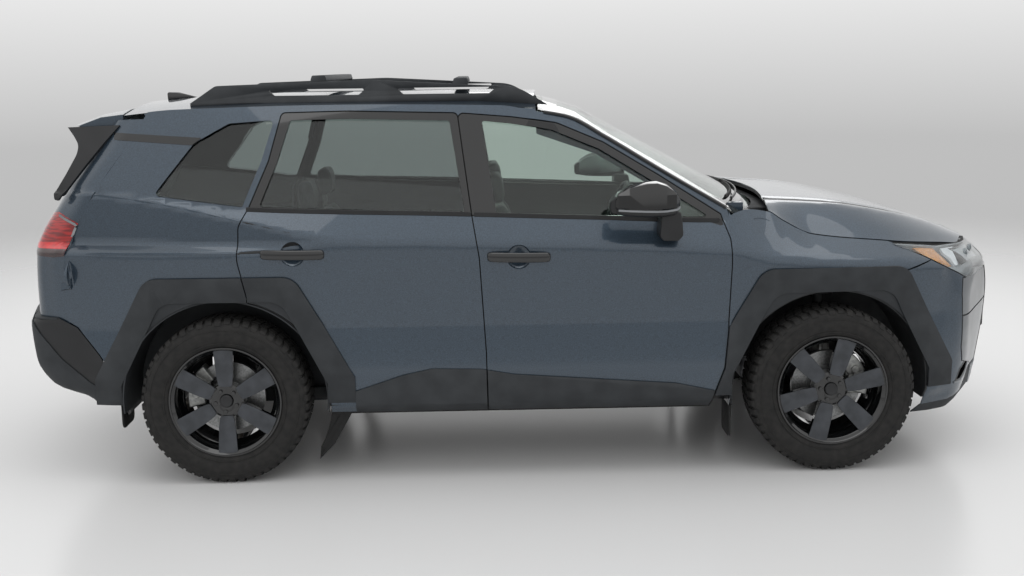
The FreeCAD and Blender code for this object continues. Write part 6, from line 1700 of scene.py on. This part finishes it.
def blown_up(meshes, voxels):
    """Meshes remeshed and blown up together by cloth pressure, each point's travel capped."""
    scene = bpy.context.scene
    objects = []
    for mesh, voxel in zip(meshes, voxels):
        obj = bpy.data.objects.new(mesh.name, mesh)
        scene.collection.objects.link(obj)
        remesh = obj.modifiers.new("voxels", "REMESH")
        remesh.mode, remesh.voxel_size = "VOXEL", voxel * MM
        objects.append(obj)
    graph = bpy.context.evaluated_depsgraph_get()
    for obj in objects:
        dense = bpy.data.meshes.new_from_object(obj.evaluated_get(graph))
        obj.modifiers.clear()
        obj.data = dense
        cloth = obj.modifiers.new("fabric", "CLOTH")
        cloth.settings.use_pressure = True
        cloth.settings.uniform_pressure_force = PRESSURE
        cloth.settings.effector_weights.gravity = 0
    for frame_number in range(1, PAD_FRAMES + 1):
        scene.frame_set(frame_number)
    graph = bpy.context.evaluated_depsgraph_get()
    for obj in objects:
        moved = obj.evaluated_get(graph).to_mesh()
        for point, after in zip(obj.data.vertices, moved.vertices):
            travel = after.co - point.co
            point.co += travel * min(1.0, TRAVEL * MM / max(travel.length, 1e-9))
    scene.frame_set(1)
    result = []
    for obj in objects:
        obj.modifiers.clear()
        result.append(obj.data)
        bpy.data.objects.remove(obj)
    return result


def seamed(mesh, lines_along, lines_across):
    """Sewn channels pressed into the top of a pad along and across it."""
    for point in mesh.vertices:
        u, v = point.co.x / MM, point.co.y / MM
        if point.normal.z > 0.1:
            depth = sum(math.exp(-((abs(v) - at) / SEAM_WIDTH) ** 2) for at in lines_along)
            depth += sum(math.exp(-((u - at) / SEAM_WIDTH) ** 2)
                         for at in lines_across) * (abs(v) < lines_along[0])
            point.co.z -= SEAM_DEPTH * MM * min(depth, 1)


# Half length, half width and half thickness; bolster height; share kept below; channels along and
# across; voxel
PADS = {"cushion": ((268, 232, 42), 16, 0.8, [140], [-90, 70], 10),
        "backrest": ((276, 228, 44), 18, 0.8, [130], [-150, 0, 130], 10),
        "headrest": ((70, 114, 34), 0, 1.0, [88], [], 6),
        "bench": ((290, 496, 40), 8, 0.8, [250, 20], [-60, 110], 12),
        "bench_back": ((268, 492, 40), 8, 0.8, [240, 20], [-130, 90], 12)}
pad_shapes = dict(zip(PADS, blown_up([pad_mesh(key, *PADS[key][:3]) for key in PADS],
                                     [entry[5] for entry in PADS.values()])))
for key, mesh in pad_shapes.items():
    seamed(mesh, *PADS[key][3:5])


def pad(name, key, centre, tilt, material=seat_cloth, node=None):
    """Pad set at a place in the cabin, tilted about the car's cross axis."""
    mesh = pad_shapes[key].copy()
    mesh.materials.clear()
    turn = Matrix.Translation(Vector(centre) * MM) @ Matrix.Rotation(math.radians(tilt), 4, "Y")
    mesh.transform(turn)
    obj = place(name, mesh, material, "body", "seat_fabric", 60)
    smoother = obj.modifiers.new("rounded_form", "SUBSURF")
    smoother.levels = smoother.render_levels = 1
    if node:
        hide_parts(node)


for side, sign in SIDES:
    y = 365 * sign
    pad("front_cushion_" + side, "cushion", (322, y, 535), -3.5, node="front_seats")
    pad("front_backrest_" + side, "backrest", (-36, y, 842), 78.5)
    pad("front_headrest_" + side, "headrest", (-104, y, 1246), 85, leathercloth)
    pad("rear_headrest_" + side, "headrest", (-988, y, 1226), 85, leathercloth)
    for end, x, low in (("front", -112, 1080), ("rear", -1000, 1090)):
        for k, shift in enumerate((-54, 54)):
            ring = [[(x + a, y + shift + b, z) for a, b in circle(6, 16)] for z in (low, 1200)]
            loft("headrest_post_%s_%s_%d" % (end, side, k), ring, caliper_iron, slot="bare_steel")
    base = rounded([(90, 330, 20), (470, 330, 20), (500, 500, 30), (70, 488, 30)], 20)
    prism("seat_base_" + side, base, lambda x, z, d: (x, y + d, z), -195, 195, cabin_trim, 8)
pad("bench_cushion", "bench", (-590, 0, 552), -3.5, node="rear_bench")
pad("bench_backrest", "bench_back", (-922, 0, 862), 78.5)
bench_base = rounded([(-810, 330, 20), (-400, 330, 20), (-390, 520, 20), (-830, 520, 20)], 20)
prism("bench_base", bench_base, lambda x, z, d: (x, d, z), -500, 500, cabin_trim, 8)
